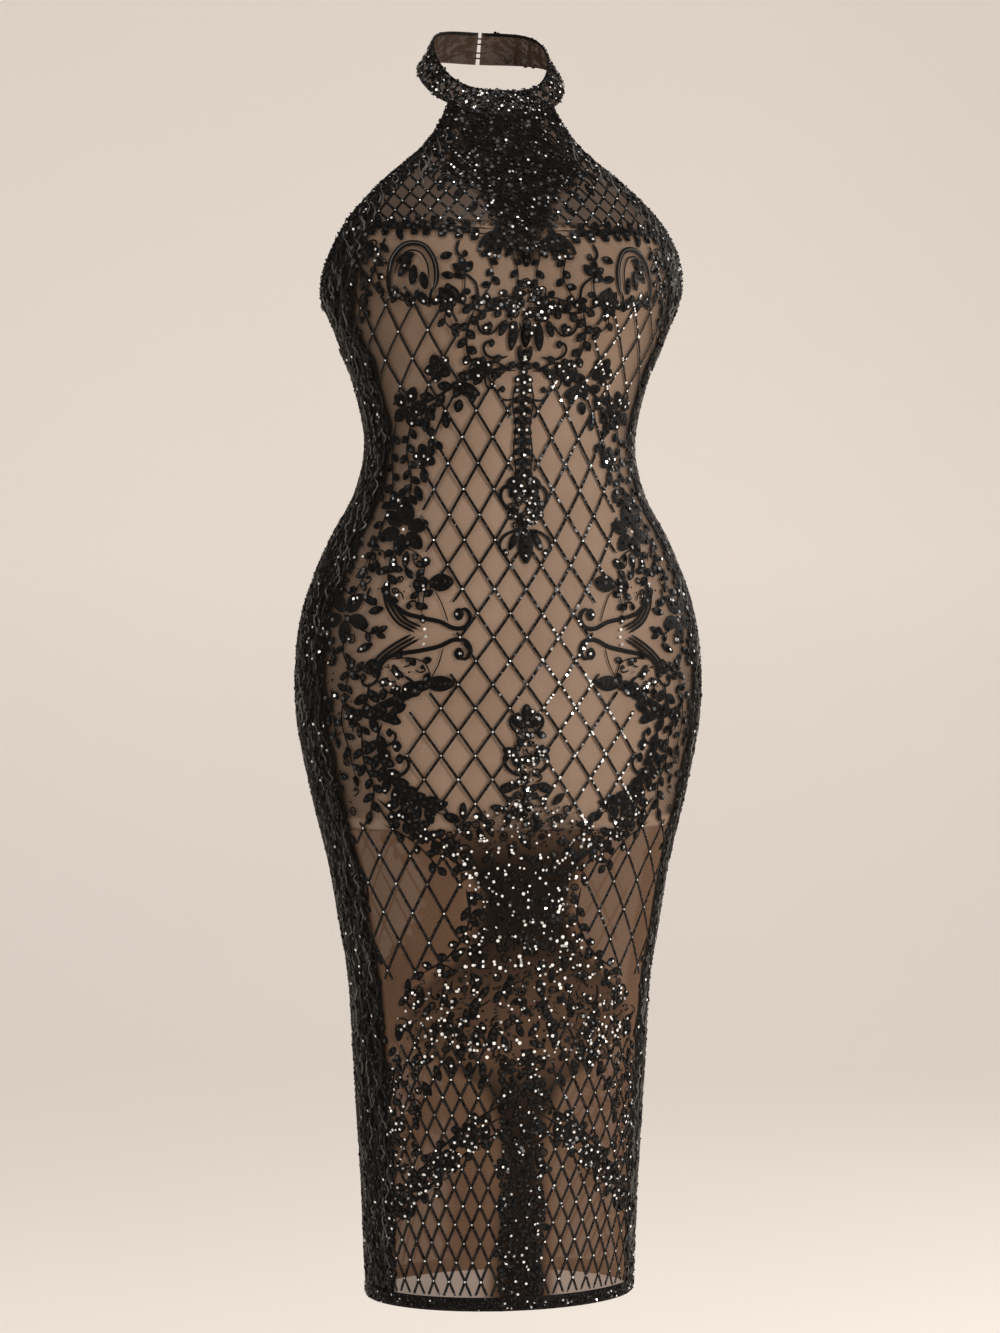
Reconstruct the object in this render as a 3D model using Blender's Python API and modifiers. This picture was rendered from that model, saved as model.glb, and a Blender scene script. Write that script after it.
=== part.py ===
"""Halter cocktail dress, standing open as it is worn, modelled in Blender.

Metres, +Z up, the front faces -Y and the wearer's left is +X. The origin is
the middle of the collar, where the wearer's neck holds the dress up.
A sheer outer shell (front and back panel) hangs from a stand collar. A nude
slip lies inside it from the upper bust to the thigh. The hem, the armhole
edges and the back's top edge are bound with strips that lie on the panels.
Every strip and the slip are made from the panels' own points, moved along
the normals, so that cloths that lie on each other keep an even gap.
"""

import math
from collections import namedtuple

import bmesh
import bpy
from mathutils import Vector

# Cloth and seams
MESH_WALL = 0.0012          # sheer shell
LINING_WALL = 0.0010        # nude slip
COLLAR_WALL = 0.0014
TRIM_WALL = 0.0010          # bindings and hem band
SEAM_GAP = 0.0005           # between panels that meet edge to edge
NECK_SEAM_GAP = 0.0008      # between the collar and the front panel
LAYER_GAP = 0.00045         # between cloths that lie on each other

# The torso's own axis stands in front of the neck's by this much.
BODY_FORWARD = 0.045

# Columns of faces across a panel between its two narrow edge columns, and
# the share of the half width that an edge column takes where nothing binds it
PANEL_COLUMNS = 16
EDGE_SHARE = 0.025
COLLAR_COLUMNS = 40

# One row of the front panel above the underarm. A row runs from armhole edge
# to armhole edge: heights and depths at its middle and its ends, its half
# width, and how far round the figure it wraps, in degrees to each side.
YokeRow = namedtuple("YokeRow", "mid_z edge_z half_width mid_y edge_y wrap")
YOKE = (
    YokeRow(-0.0720, -0.0640, 0.0640, -0.0400, -0.0100, 50.0),
    YokeRow(-0.0940, -0.0880, 0.0817, -0.0560, -0.0180, 54.0),
    YokeRow(-0.1230, -0.1185, 0.1160, -0.0750, -0.0270, 60.0),
    YokeRow(-0.1450, -0.1420, 0.1394, -0.0890, -0.0330, 66.0),
    YokeRow(-0.1660, -0.1640, 0.1573, -0.1000, -0.0360, 71.0),
    YokeRow(-0.1940, -0.1930, 0.1725, -0.1100, -0.0310, 77.0),
    YokeRow(-0.2190, -0.2185, 0.1785, -0.1150, -0.0160, 84.0),
)

# Girths from the underarm to the hem: height, half the width from side seam
# to side seam, and how far the cloth stands before and behind that line.
Girth = namedtuple("Girth", "z half_width front back")
GIRTHS = (
    Girth(-0.238, 0.1762, 0.117, 0.102),    # underarm
    Girth(-0.260, 0.1665, 0.116, 0.101),
    Girth(-0.285, 0.1565, 0.112, 0.097),
    Girth(-0.309, 0.1462, 0.108, 0.093),
    Girth(-0.334, 0.1387, 0.105, 0.089),
    Girth(-0.358, 0.1338, 0.103, 0.086),
    Girth(-0.378, 0.1325, 0.103, 0.086),    # waist
    Girth(-0.400, 0.1355, 0.105, 0.089),
    Girth(-0.430, 0.1455, 0.109, 0.097),
    Girth(-0.466, 0.1658, 0.114, 0.110),
    Girth(-0.510, 0.1848, 0.118, 0.126),
    Girth(-0.549, 0.1955, 0.120, 0.138),
    Girth(-0.589, 0.2000, 0.121, 0.145),
    Girth(-0.620, 0.2002, 0.121, 0.146),    # hips
    Girth(-0.652, 0.1972, 0.120, 0.141),
    Girth(-0.683, 0.1912, 0.119, 0.132),
    Girth(-0.726, 0.1815, 0.117, 0.121),
    Girth(-0.784, 0.1670, 0.115, 0.111),
    Girth(-0.842, 0.1568, 0.112, 0.104),
    Girth(-0.896, 0.1480, 0.109, 0.101),
    Girth(-0.963, 0.1440, 0.105, 0.099),
    Girth(-1.030, 0.1398, 0.101, 0.098),
    Girth(-1.095, 0.1357, 0.098, 0.097),
    Girth(-1.155, 0.1332, 0.095, 0.096),
    Girth(-1.202, 0.1312, 0.093, 0.095),    # hem
)
UNDERARM_Z = GIRTHS[0].z
HEM_Z = GIRTHS[-1].z

# Bust cups, cut into the front panel by its shaping
CUP_X = 0.086
CUP_Z = -0.244
CUP_RISE = 0.030
CUP_SPREAD_X = 0.042
CUP_SPREAD_UP = 0.054
CUP_SPREAD_DOWN = 0.034

# Stand collar: its two edges as rings round the neck, higher behind. The
# rise from front to nape follows an S curve, set by its ease and its lean.
CollarEdge = namedtuple("CollarEdge", "half_width front back front_z back_z")
COLLAR_TOP = CollarEdge(0.0566, 0.053, 0.052, -0.0277, 0.0513)
COLLAR_FOOT = CollarEdge(0.0730, 0.072, 0.066, -0.0520, 0.0215)
COLLAR_EASE = 1.35
COLLAR_LEAN = 0.62
COLLAR_HEIGHT = 0.033        # down the cloth, for the strip on its edge
YOKE_WRAP = 47.0            # the front panel is sewn to this much of the collar
NECK_FADE = 2.0             # rows over which the panel takes the collar's curve
NAPE_GAP = 0.004            # between the collar's ends, at the nape

# Strips on the panels
HEM_BAND = 0.013
ARMHOLE_BINDING = 0.0065
BACK_BINDING = 0.0080
COLLAR_BINDING = 0.0035
BAND_SHORT = 0.0003         # the hem band ends this far above the panel's edge

# Nude slip
LINING_TOP_Z = -0.169
LINING_HEM_Z = -0.747

# Nape fastening: two covered buttons and two cord loops
BUTTON_RADIUS = 0.0045
BUTTON_HEAD = 0.0042
SHANK_RADIUS = 0.0015
SHANK_LENGTH = 0.0024
LOOP_RADIUS = 0.0008
BUTTON_FROM_END = 0.0065    # from the collar's end to a button's middle
BUTTON_HEIGHTS = (0.28, 0.72)

# Principled BSDF base colour, roughness and metallic value of each finish
Finish = namedtuple("Finish", "colour roughness metallic")
SHEER_MESH = Finish((0.020, 0.017, 0.015, 1.0), 0.60, 0.0)
SEQUIN_TRIM = Finish((0.012, 0.011, 0.011, 1.0), 0.30, 0.2)
NUDE_SLIP = Finish((0.560, 0.390, 0.270, 1.0), 0.75, 0.0)
BUTTON_BLACK = Finish((0.015, 0.014, 0.014, 1.0), 0.25, 0.0)
CORD_BLACK = Finish((0.015, 0.013, 0.012, 1.0), 0.70, 0.0)


def clear_scene():
    for obj in list(bpy.data.objects):
        bpy.data.objects.remove(obj, do_unlink=True)
    for collection in list(bpy.data.collections):
        bpy.data.collections.remove(collection)


def new_collection(name):
    collection = bpy.data.collections.new(name)
    bpy.context.scene.collection.children.link(collection)
    return collection


def material(name, finish):
    made = bpy.data.materials.get(name)
    if made is None:
        made = bpy.data.materials.new(name)
        made.use_nodes = True
        shader = made.node_tree.nodes["Principled BSDF"]
        shader.inputs["Base Color"].default_value = finish.colour
        shader.inputs["Roughness"].default_value = finish.roughness
        shader.inputs["Metallic"].default_value = finish.metallic
        made.diffuse_color = finish.colour
    return made


def catmull(a, b, c, d, t):
    """The smooth value a share t of the way from b to c."""
    return b + 0.5 * t * (
        (c - a)
        + t * ((2 * a - 5 * b + 4 * c - d) + t * (3 * (b - c) + d - a))
    )


def row_between(rows, place):
    """The row at a fractional place in a table of rows."""
    first = min(int(place), len(rows) - 2)
    share = place - first
    near = [rows[max(0, min(len(rows) - 1, first + k))] for k in (-1, 0, 1, 2)]
    return YokeRow(*(catmull(*values, share) for values in zip(*near)))


def place_of_height(rows, z):
    """The fractional place at which a table's middle line is at height z."""
    low, high = 0.0, len(rows) - 1.0
    for _ in range(40):
        middle = (low + high) / 2
        if row_between(rows, middle).mid_z > z:
            low = middle
        else:
            high = middle
    return (low + high) / 2


def collar_edge(edge, angle):
    """A point of a collar edge. Angle 0 is the front, positive to +X."""
    behind = ((1 - math.cos(angle)) / 2) ** COLLAR_EASE
    before = ((1 + math.cos(angle)) / 2) ** COLLAR_EASE
    rise = behind / (behind + COLLAR_LEAN * before)
    depth = edge.front if math.cos(angle) > 0 else edge.back
    return Vector((
        edge.half_width * math.sin(angle),
        -depth * math.cos(angle),
        edge.front_z + (edge.back_z - edge.front_z) * rise,
    ))


def neck_row():
    """The front panel's top row, as a plain curve along the collar's foot."""
    middle = collar_edge(COLLAR_FOOT, 0.0)
    end = collar_edge(COLLAR_FOOT, math.radians(YOKE_WRAP))
    return YokeRow(
        middle.z - NECK_SEAM_GAP,
        end.z - NECK_SEAM_GAP,
        end.x,
        middle.y + BODY_FORWARD,
        end.y + BODY_FORWARD,
        YOKE_WRAP,
    )


def girth_row(girth, side):
    depth = girth.front if side < 0 else girth.back
    return YokeRow(girth.z, girth.z, girth.half_width, side * depth, 0.0, 90.0)


FRONT_ROWS = (neck_row(),) + YOKE + tuple(girth_row(g, -1) for g in GIRTHS)
BACK_ROWS = tuple(girth_row(g, 1) for g in GIRTHS)


def cup_rise(x, z):
    """How far the bust cups push the cloth forward at a point."""
    spread_z = CUP_SPREAD_UP if z > CUP_Z else CUP_SPREAD_DOWN
    down = math.exp(-((z - CUP_Z) / spread_z) ** 2 / 2)
    left = math.exp(-((x - CUP_X) / CUP_SPREAD_X) ** 2 / 2)
    right = math.exp(-((x + CUP_X) / CUP_SPREAD_X) ** 2 / 2)
    return CUP_RISE * down * (left + right)


def row_point(row, across):
    """A point of a row, about the torso's axis. across runs -1 to 1."""
    wrap = math.radians(row.wrap)
    angle = across * wrap
    bend = (1 - math.cos(angle)) / (1 - math.cos(wrap))
    return Vector((
        row.half_width * math.sin(angle) / math.sin(wrap),
        row.mid_y + (row.edge_y - row.mid_y) * bend,
        row.mid_z + (row.edge_z - row.mid_z) * bend,
    ))


def neck_shift(across):
    """From the top row's plain curve to the collar's foot above it."""
    foot = collar_edge(COLLAR_FOOT, across * math.radians(YOKE_WRAP))
    foot += Vector((0.0, BODY_FORWARD, -NECK_SEAM_GAP))
    return foot - row_point(neck_row(), across)


def panel_point(rows, place, across, side):
    """A point of the front (side -1) or back (+1) panel."""
    row = row_between(rows, place)
    point = row_point(row, across)
    if side < 0:
        turn = math.cos(across * math.radians(row.wrap))
        point.y -= cup_rise(point.x, point.z) * turn
        if place < NECK_FADE:
            point += neck_shift(across) * (1 - place / NECK_FADE) ** 2
    return point + Vector((0.0, side * SEAM_GAP / 2 - BODY_FORWARD, 0.0))


def even_steps(low, high, count):
    return [low + (high - low) * k / count for k in range(count + 1)]


def panel_normal(rows, place, across, side):
    """The outward direction of the smooth surface at a panel point."""
    step = 0.004
    along = (
        panel_point(rows, place + step, across, side)
        - panel_point(rows, place - step, across, side)
    )
    over = (
        panel_point(rows, place, across + step, side)
        - panel_point(rows, place, across - step, side)
    )
    return along.cross(over).normalized() * -side


def row_length(rows, place, side):
    """Half the cloth's length across a row, from middle to end."""
    points = [panel_point(rows, place, a, side) for a in even_steps(0, 1, 24)]
    return sum((b - a).length for a, b in zip(points, points[1:]))


def row_places(rows, heights):
    """The table's own rows, and a row at each of the heights."""
    places = [place_of_height(rows, z) for z in heights]
    last = len(rows) - 1
    for place in range(last + 1):
        if place in (0, last) or all(abs(place - p) > 0.3 for p in places):
            places.append(place)
    return sorted(places)


# A panel holds its heights, and a row of points and of normals at each one.
Panel = namedtuple("Panel", "heights points normals")


def make_panel(rows, heights, side, edge_width):
    """The points of a panel. edge_width(place) is its edge column's width."""
    made = Panel([], [], [])
    for place in row_places(rows, heights):
        inner = 1 - edge_width(place) / row_length(rows, place, side)
        acrosses = [-1.0] + even_steps(-inner, inner, PANEL_COLUMNS) + [1.0]
        acrosses = acrosses[::-side]
        made.heights.append(row_between(rows, place).mid_z)
        made.points.append([panel_point(rows, place, a, side) for a in acrosses])
        made.normals.append([panel_normal(rows, place, a, side) for a in acrosses])
    return made


def layer(panel, top_z, foot_z, distance):
    """The panel's rows between two heights, moved out by a distance."""
    return [
        [point + normal * distance for point, normal in zip(points, normals)]
        for z, points, normals in zip(panel.heights, panel.points, panel.normals)
        if foot_z - 0.0001 < z < top_z + 0.0001
    ]


def row_lerp(upper, lower, share):
    return [a.lerp(b, share) for a, b in zip(upper, lower)]


def loft(name, grid, wall, finish, collection, ring=False):
    """A cloth wall from a grid of points, its outer face on the grid."""
    mesh = bpy.data.meshes.new(name)
    made = bmesh.new()
    lines = [[made.verts.new(point) for point in row] for row in grid]
    columns = len(grid[0]) if ring else len(grid[0]) - 1
    for upper, lower in zip(lines, lines[1:]):
        for j in range(columns):
            k = (j + 1) % len(upper)
            made.faces.new((upper[j], lower[j], lower[k], upper[k]))
    made.to_mesh(mesh)
    made.free()
    obj = bpy.data.objects.new(name, mesh)
    collection.objects.link(obj)
    thickness = obj.modifiers.new("Wall", "SOLIDIFY")
    thickness.thickness = wall
    thickness.offset = -1.0
    thickness.use_even_offset = True
    mesh.materials.append(finish)
    mesh.shade_smooth()
    mesh.set_sharp_from_angle(angle=math.radians(50))
    return obj


def front_panel():
    underarm = len(YOKE) + 1

    def edge_width(place):
        if place <= underarm:
            return ARMHOLE_BINDING
        return EDGE_SHARE * row_length(FRONT_ROWS, place, -1)

    heights = (LINING_TOP_Z, LINING_HEM_Z, HEM_Z + HEM_BAND)
    return make_panel(FRONT_ROWS, heights, -1, edge_width)


def back_panel():
    def edge_width(place):
        return EDGE_SHARE * row_length(BACK_ROWS, place, 1)

    heights = (UNDERARM_Z - BACK_BINDING, LINING_HEM_Z, HEM_Z + HEM_BAND)
    return make_panel(BACK_ROWS, heights, 1, edge_width)


def add_shell(front, back, collection):
    """The sheer front and back panel."""
    finish = material("SheerMesh", SHEER_MESH)
    loft("front_panel", front.points, MESH_WALL, finish, collection)
    loft("back_panel", back.points, MESH_WALL, finish, collection)


def add_lining(front, back, collection):
    """The nude slip, inside the shell."""
    finish = material("NudeSlip", NUDE_SLIP)
    inset = -(MESH_WALL + LAYER_GAP)
    grid = layer(front, LINING_TOP_Z, LINING_HEM_Z, inset)
    loft("lining_front", grid, LINING_WALL, finish, collection)
    grid = layer(back, UNDERARM_Z - BACK_BINDING, LINING_HEM_Z, inset)
    loft("lining_back", grid, LINING_WALL, finish, collection)


def add_hem_band(front, back, collection):
    """A strip sewn round the outside of the hem, in one ring."""
    rise = LAYER_GAP + TRIM_WALL
    top_z = HEM_Z + HEM_BAND
    ring = [
        f + b
        for f, b in zip(layer(front, top_z, HEM_Z, rise), layer(back, top_z, HEM_Z, rise))
    ]
    ring[1] = row_lerp(ring[1], ring[0], BAND_SHORT / HEM_BAND)
    finish = material("SequinTrim", SEQUIN_TRIM)
    loft("hem_band", ring, TRIM_WALL, finish, collection, ring=True)


def add_armhole_bindings(front, collection):
    """Strips on the front panel, along its two armhole edges."""
    finish = material("SequinTrim", SEQUIN_TRIM)
    grid = layer(front, 0.0, UNDERARM_Z, LAYER_GAP + TRIM_WALL)
    for name, columns in (("right", slice(0, 2)), ("left", slice(-2, None))):
        strip = [row[columns] for row in grid]
        loft(f"armhole_binding_{name}", strip, TRIM_WALL, finish, collection)


def add_back_binding(back, collection):
    """A strip on the back panel, along its top edge."""
    finish = material("SequinTrim", SEQUIN_TRIM)
    foot_z = UNDERARM_Z - BACK_BINDING
    grid = layer(back, UNDERARM_Z, foot_z, LAYER_GAP + TRIM_WALL)
    loft("back_top_binding", grid, TRIM_WALL, finish, collection)


def nape_angle():
    """The angle at which the collar's end stops, short of the nape."""
    return math.pi - NAPE_GAP / 2 / COLLAR_FOOT.half_width


def collar_point(angle, down):
    """A point on the collar's outer face; down runs 0 to 1 to its foot."""
    top = collar_edge(COLLAR_TOP, angle)
    return top.lerp(collar_edge(COLLAR_FOOT, angle), down)


def collar_normal(angle, down):
    step = 0.01
    across = collar_point(angle + step, down) - collar_point(angle - step, down)
    along = collar_point(angle, down + step) - collar_point(angle, down - step)
    return along.cross(across).normalized()


def add_collar(collection):
    """The stand collar, open at the nape, and the strip on its top edge."""
    finish = material("SheerMesh", SHEER_MESH)
    trim = material("SequinTrim", SEQUIN_TRIM)
    angles = even_steps(-nape_angle(), nape_angle(), COLLAR_COLUMNS)
    downs = [0.0, COLLAR_BINDING / COLLAR_HEIGHT] + even_steps(0.35, 1.0, 2)
    grid = [[collar_point(angle, down) for angle in angles] for down in downs]
    loft("collar", grid, COLLAR_WALL, finish, collection)
    rise = LAYER_GAP + TRIM_WALL
    strip = [
        [collar_point(angle, down) + collar_normal(angle, down) * rise for angle in angles]
        for down in downs[:2]
    ]
    loft("collar_binding", strip, TRIM_WALL, trim, collection)


def button_profile():
    """Half the outline of a covered ball button, from its top to its foot."""
    points = [(0.0, SHANK_LENGTH + BUTTON_HEAD)]
    steps = 7
    for k in range(1, steps):
        angle = math.pi * k / steps
        points.append((
            BUTTON_RADIUS * math.sin(angle),
            SHANK_LENGTH + BUTTON_HEAD * (1 + math.cos(angle)) / 2,
        ))
    points.append((SHANK_RADIUS, SHANK_LENGTH))
    points.append((SHANK_RADIUS, 0.0))
    points.append((0.0, 0.0))
    return points


def add_button(name, angle, down, collection):
    """A covered button, standing on the collar with its shank."""
    mesh = bpy.data.meshes.new(name)
    made = bmesh.new()
    verts = [made.verts.new((x, 0.0, z)) for x, z in button_profile()]
    for a, b in zip(verts, verts[1:]):
        made.edges.new((a, b))
    made.to_mesh(mesh)
    made.free()
    obj = bpy.data.objects.new(name, mesh)
    collection.objects.link(obj)
    turn = obj.modifiers.new("Turned", "SCREW")
    turn.steps = 14
    turn.render_steps = 14
    turn.use_merge_vertices = True
    turn.merge_threshold = 0.00001
    normal = collar_normal(angle, down)
    obj.location = collar_point(angle, down) + normal * LAYER_GAP
    obj.rotation_euler = normal.to_track_quat("Z", "Y").to_euler()
    mesh.materials.append(material("ButtonBlack", BUTTON_BLACK))
    mesh.shade_smooth()
    return obj


def collar_reach(angle, down):
    """Metres of cloth to a radian round the collar, and down its height."""
    step = 0.01
    around = collar_point(angle + step, down) - collar_point(angle - step, down)
    height = collar_point(angle, 1) - collar_point(angle, 0)
    return around.length / 2 / step, height.length


def loop_route(button_angle, down):
    """The cord loop's middle line: from the collar's other end, round the
    button's shank and back, just clear of the collar."""
    radius, height = collar_reach(button_angle, down)
    wide = SHANK_RADIUS + LAYER_GAP + LOOP_RADIUS
    lift = LAYER_GAP + LOOP_RADIUS
    reach = BUTTON_FROM_END * 2 + NAPE_GAP
    straight = [reach * k / 4 for k in (4, 3, 2, 1)]
    bend = even_steps(-math.pi / 2, math.pi / 2, 8)
    offsets = [(along, -wide) for along in straight]
    offsets += [(-wide * math.cos(a), wide * math.sin(a)) for a in bend]
    offsets += [(along, wide) for along in reversed(straight)]
    route = []
    for along, aside in offsets:
        angle = button_angle - along / radius
        share = down + aside / height
        normal = collar_normal(angle, share)
        route.append(collar_point(angle, share) + normal * lift)
    return route


def add_loop(name, button_angle, down, collection):
    curve = bpy.data.curves.new(name, "CURVE")
    curve.dimensions = "3D"
    curve.bevel_depth = LOOP_RADIUS
    curve.bevel_resolution = 2
    curve.use_fill_caps = True
    spline = curve.splines.new("POLY")
    route = loop_route(button_angle, down)
    spline.points.add(len(route) - 1)
    for point, place in zip(spline.points, route):
        point.co = (*place, 1.0)
    obj = bpy.data.objects.new(name, curve)
    collection.objects.link(obj)
    curve.materials.append(material("CordBlack", CORD_BLACK))
    return obj


def add_fastening(collection):
    """Two buttons on one end of the collar, two loops from the other."""
    for number, down in enumerate(BUTTON_HEIGHTS, 1):
        radius = collar_reach(-nape_angle(), down)[0]
        angle = -nape_angle() + BUTTON_FROM_END / radius
        add_button(f"button_{number}", angle, down, collection)
        add_loop(f"button_loop_{number}", angle, down, collection)


def main():
    clear_scene()
    dress = new_collection("HalterDress")
    front = front_panel()
    back = back_panel()
    add_shell(front, back, dress)
    add_lining(front, back, dress)
    add_hem_band(front, back, dress)
    add_armhole_bindings(front, dress)
    add_back_binding(back, dress)
    add_collar(dress)
    add_fastening(dress)


main()
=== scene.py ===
import math

import bpy
import numpy as np
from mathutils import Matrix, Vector


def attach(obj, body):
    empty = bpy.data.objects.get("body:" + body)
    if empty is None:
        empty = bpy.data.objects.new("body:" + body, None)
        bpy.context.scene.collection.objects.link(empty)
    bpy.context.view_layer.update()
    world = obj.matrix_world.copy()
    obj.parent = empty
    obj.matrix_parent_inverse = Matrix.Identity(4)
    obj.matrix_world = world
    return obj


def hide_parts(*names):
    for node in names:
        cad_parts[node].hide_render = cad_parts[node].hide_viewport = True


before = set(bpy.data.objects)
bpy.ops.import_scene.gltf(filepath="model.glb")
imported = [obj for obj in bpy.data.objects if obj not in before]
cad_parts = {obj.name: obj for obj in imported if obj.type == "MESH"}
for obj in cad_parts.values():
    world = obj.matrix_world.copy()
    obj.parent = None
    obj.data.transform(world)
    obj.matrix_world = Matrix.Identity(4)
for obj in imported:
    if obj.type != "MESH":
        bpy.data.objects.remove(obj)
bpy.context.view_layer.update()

# Places on the cloth are (across, down) in centimetres: across runs along the
# cloth from the centre line, down is the drop below the middle of the collar.

figure = {
    "forward": 0.045,          # the torso's axis stands in front of the neck's
    "yoke": (                  # middle z, edge z, half width, middle y, edge y, wrap
        (-0.0720, -0.0640, 0.0640, -0.0400, -0.0100, 50.0),
        (-0.0940, -0.0880, 0.0817, -0.0560, -0.0180, 54.0),
        (-0.1230, -0.1185, 0.1160, -0.0750, -0.0270, 60.0),
        (-0.1450, -0.1420, 0.1394, -0.0890, -0.0330, 66.0),
        (-0.1660, -0.1640, 0.1573, -0.1000, -0.0360, 71.0),
        (-0.1940, -0.1930, 0.1725, -0.1100, -0.0310, 77.0),
        (-0.2190, -0.2185, 0.1785, -0.1150, -0.0160, 84.0),
    ),
    "girths": (                # z, half width, front, back
        (-0.238, 0.1762, 0.117, 0.102),    # underarm
        (-0.260, 0.1665, 0.116, 0.101),
        (-0.285, 0.1565, 0.112, 0.097),
        (-0.309, 0.1462, 0.108, 0.093),
        (-0.334, 0.1387, 0.105, 0.089),
        (-0.358, 0.1338, 0.103, 0.086),
        (-0.378, 0.1325, 0.103, 0.086),    # waist
        (-0.400, 0.1355, 0.105, 0.089),
        (-0.430, 0.1455, 0.109, 0.097),
        (-0.466, 0.1658, 0.114, 0.110),
        (-0.510, 0.1848, 0.118, 0.126),
        (-0.549, 0.1955, 0.120, 0.138),
        (-0.589, 0.2000, 0.121, 0.145),
        (-0.620, 0.2002, 0.121, 0.146),    # hips
        (-0.652, 0.1972, 0.120, 0.141),
        (-0.683, 0.1912, 0.119, 0.132),
        (-0.726, 0.1815, 0.117, 0.121),
        (-0.784, 0.1670, 0.115, 0.111),
        (-0.842, 0.1568, 0.112, 0.104),
        (-0.896, 0.1480, 0.109, 0.101),
        (-0.963, 0.1440, 0.105, 0.099),
        (-1.030, 0.1398, 0.101, 0.098),
        (-1.095, 0.1357, 0.098, 0.097),
        (-1.155, 0.1332, 0.095, 0.096),
        (-1.202, 0.1312, 0.093, 0.095),    # hem
    ),
    "cup": {"x": 0.086, "z": -0.244, "rise": 0.030, "wide": 0.042, "up": 0.054, "down": 0.034},
    "collarTop": (0.0566, 0.053, 0.052, -0.0277, 0.0513),   # half width, front, back, z, z
    "collarFoot": (0.0730, 0.072, 0.066, -0.0520, 0.0215),
    "collarHigh": 3.2,         # centimetres
    "collarEase": 1.35,
    "collarLean": 0.62,
    "yokeWrap": 47.0,
    "neckFade": 2.0,
    "hemZ": -1.202,
    "slipTop": 16.9,
    "slipBackTop": 24.6,
    "slipHem": 74.7,
}


def spline(a, b, c, d, t):    # from b to c, t being 0 to 1
    return b + 0.5 * t * ((c - a) + t * ((2 * a - 5 * b + 4 * c - d) + t * (3 * (b - c) + d - a)))


def rowsBetween(rows, place):
    first = np.clip(place.astype(int), 0, len(rows) - 2)
    t = (place - first)[..., None]
    last = len(rows) - 1
    return spline(*(rows[np.clip(first + k, 0, last)] for k in (-1, 0, 1, 2)), t)


def collarEdge(edge, angle):
    half, front, back, frontZ, backZ = edge
    behind = ((1 - np.cos(angle)) / 2) ** figure["collarEase"]
    before = ((1 + np.cos(angle)) / 2) ** figure["collarEase"]
    rise = behind / (behind + figure["collarLean"] * before)
    depth = np.where(np.cos(angle) > 0, front, back)
    return np.stack([half * np.sin(angle), -depth * np.cos(angle), frontZ + (backZ - frontZ) * rise], -1)


def neckRow():
    middle = collarEdge(figure["collarFoot"], np.array(0.0))
    end = collarEdge(figure["collarFoot"], np.array(math.radians(figure["yokeWrap"])))
    forward = figure["forward"]
    return (
        middle[2] - 0.0008, end[2] - 0.0008, end[0], middle[1] + forward, end[1] + forward,
        figure["yokeWrap"]
    )


def rowPoint(row, across):
    midZ, edgeZ, half, midY, edgeY, wrap = np.moveaxis(row, -1, 0)
    angle, wrap = across * np.radians(wrap), np.radians(wrap)
    bend = (1 - np.cos(angle)) / (1 - np.cos(wrap))
    return np.stack(
        [half * np.sin(angle) / np.sin(wrap), midY + (edgeY - midY) * bend, midZ + (edgeZ - midZ) * bend],
        -1
    )


def cupRise(x, z):
    cup = figure["cup"]
    spread = np.where(z > cup["z"], cup["up"], cup["down"])
    fall = np.exp(-((z - cup["z"]) / spread) ** 2 / 2)
    sides = sum(np.exp(-((x - side * cup["x"]) / cup["wide"]) ** 2 / 2) for side in (-1, 1))
    return cup["rise"] * fall * sides


def panelRows(side):
    rows = [neckRow(), *figure["yoke"]] if side < 0 else []
    for z, half, front, back in figure["girths"]:
        rows.append((z, z, half, side * (front if side < 0 else back), 0.0, 90.0))
    return np.array(rows)


def panelPoint(rows, place, across, side):
    row = rowsBetween(rows, place)
    point = rowPoint(row, across)
    if side < 0:
        point[..., 1] -= cupRise(point[..., 0], point[..., 2]) * np.cos(across * np.radians(row[..., 5]))
        foot = collarEdge(figure["collarFoot"], across * math.radians(figure["yokeWrap"]))
        foot += (0.0, figure["forward"], -0.0008)
        shift = foot - rowPoint(np.broadcast_to(rows[0], row.shape), across)
        point += shift * (np.clip(1 - place / figure["neckFade"], 0, 1) ** 2)[..., None]
    point[..., 1] += side * 0.00025 - figure["forward"]
    return point


class Cloth:
    # a smooth surface, read by (across, down) in centimetres

    def __init__(self, side, rough, down):
        columns = rough.shape[1]
        steps = np.linalg.norm(np.diff(rough, axis=1), axis=2)
        run = np.concatenate([np.zeros((len(down), 1)), steps.cumsum(1)], 1)
        self.side, self.down, self.half = side, down, run[:, -1] / 2 * 100
        self.points = np.empty_like(rough)
        for k in range(len(down)):
            even = np.linspace(0, run[k, -1], columns)
            for axis in range(3):
                self.points[k, :, axis] = np.interp(even, run[k], rough[k, :, axis])
        normals = np.cross(np.gradient(self.points, axis=0), np.gradient(self.points, axis=1)) * -side
        self.normals = normals / np.linalg.norm(normals, axis=2, keepdims=True)

    def halfAt(self, down):
        return np.interp(down, self.down, self.half)

    def at(self, across, down, lift=0.0):
        across, down = np.asarray(across, float), np.asarray(down, float)
        row = np.interp(down, self.down, np.arange(len(self.down)))
        column = (np.clip(across / self.halfAt(down), -1, 1) + 1) / 2 * (self.points.shape[1] - 1)
        i = np.clip(row.astype(int), 0, self.points.shape[0] - 2)
        j = np.clip(column.astype(int), 0, self.points.shape[1] - 2)
        u, v = (row - i)[..., None], (column - j)[..., None]

        def mixed(grid):
            upper = grid[i, j] * (1 - v) + grid[i, j + 1] * v
            lower = grid[i + 1, j] * (1 - v) + grid[i + 1, j + 1] * v
            return upper * (1 - u) + lower * u

        normal = mixed(self.normals)
        normal /= np.linalg.norm(normal, axis=-1, keepdims=True)
        return mixed(self.points) + normal * np.asarray(lift, float)[..., None] / 100, normal


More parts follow.
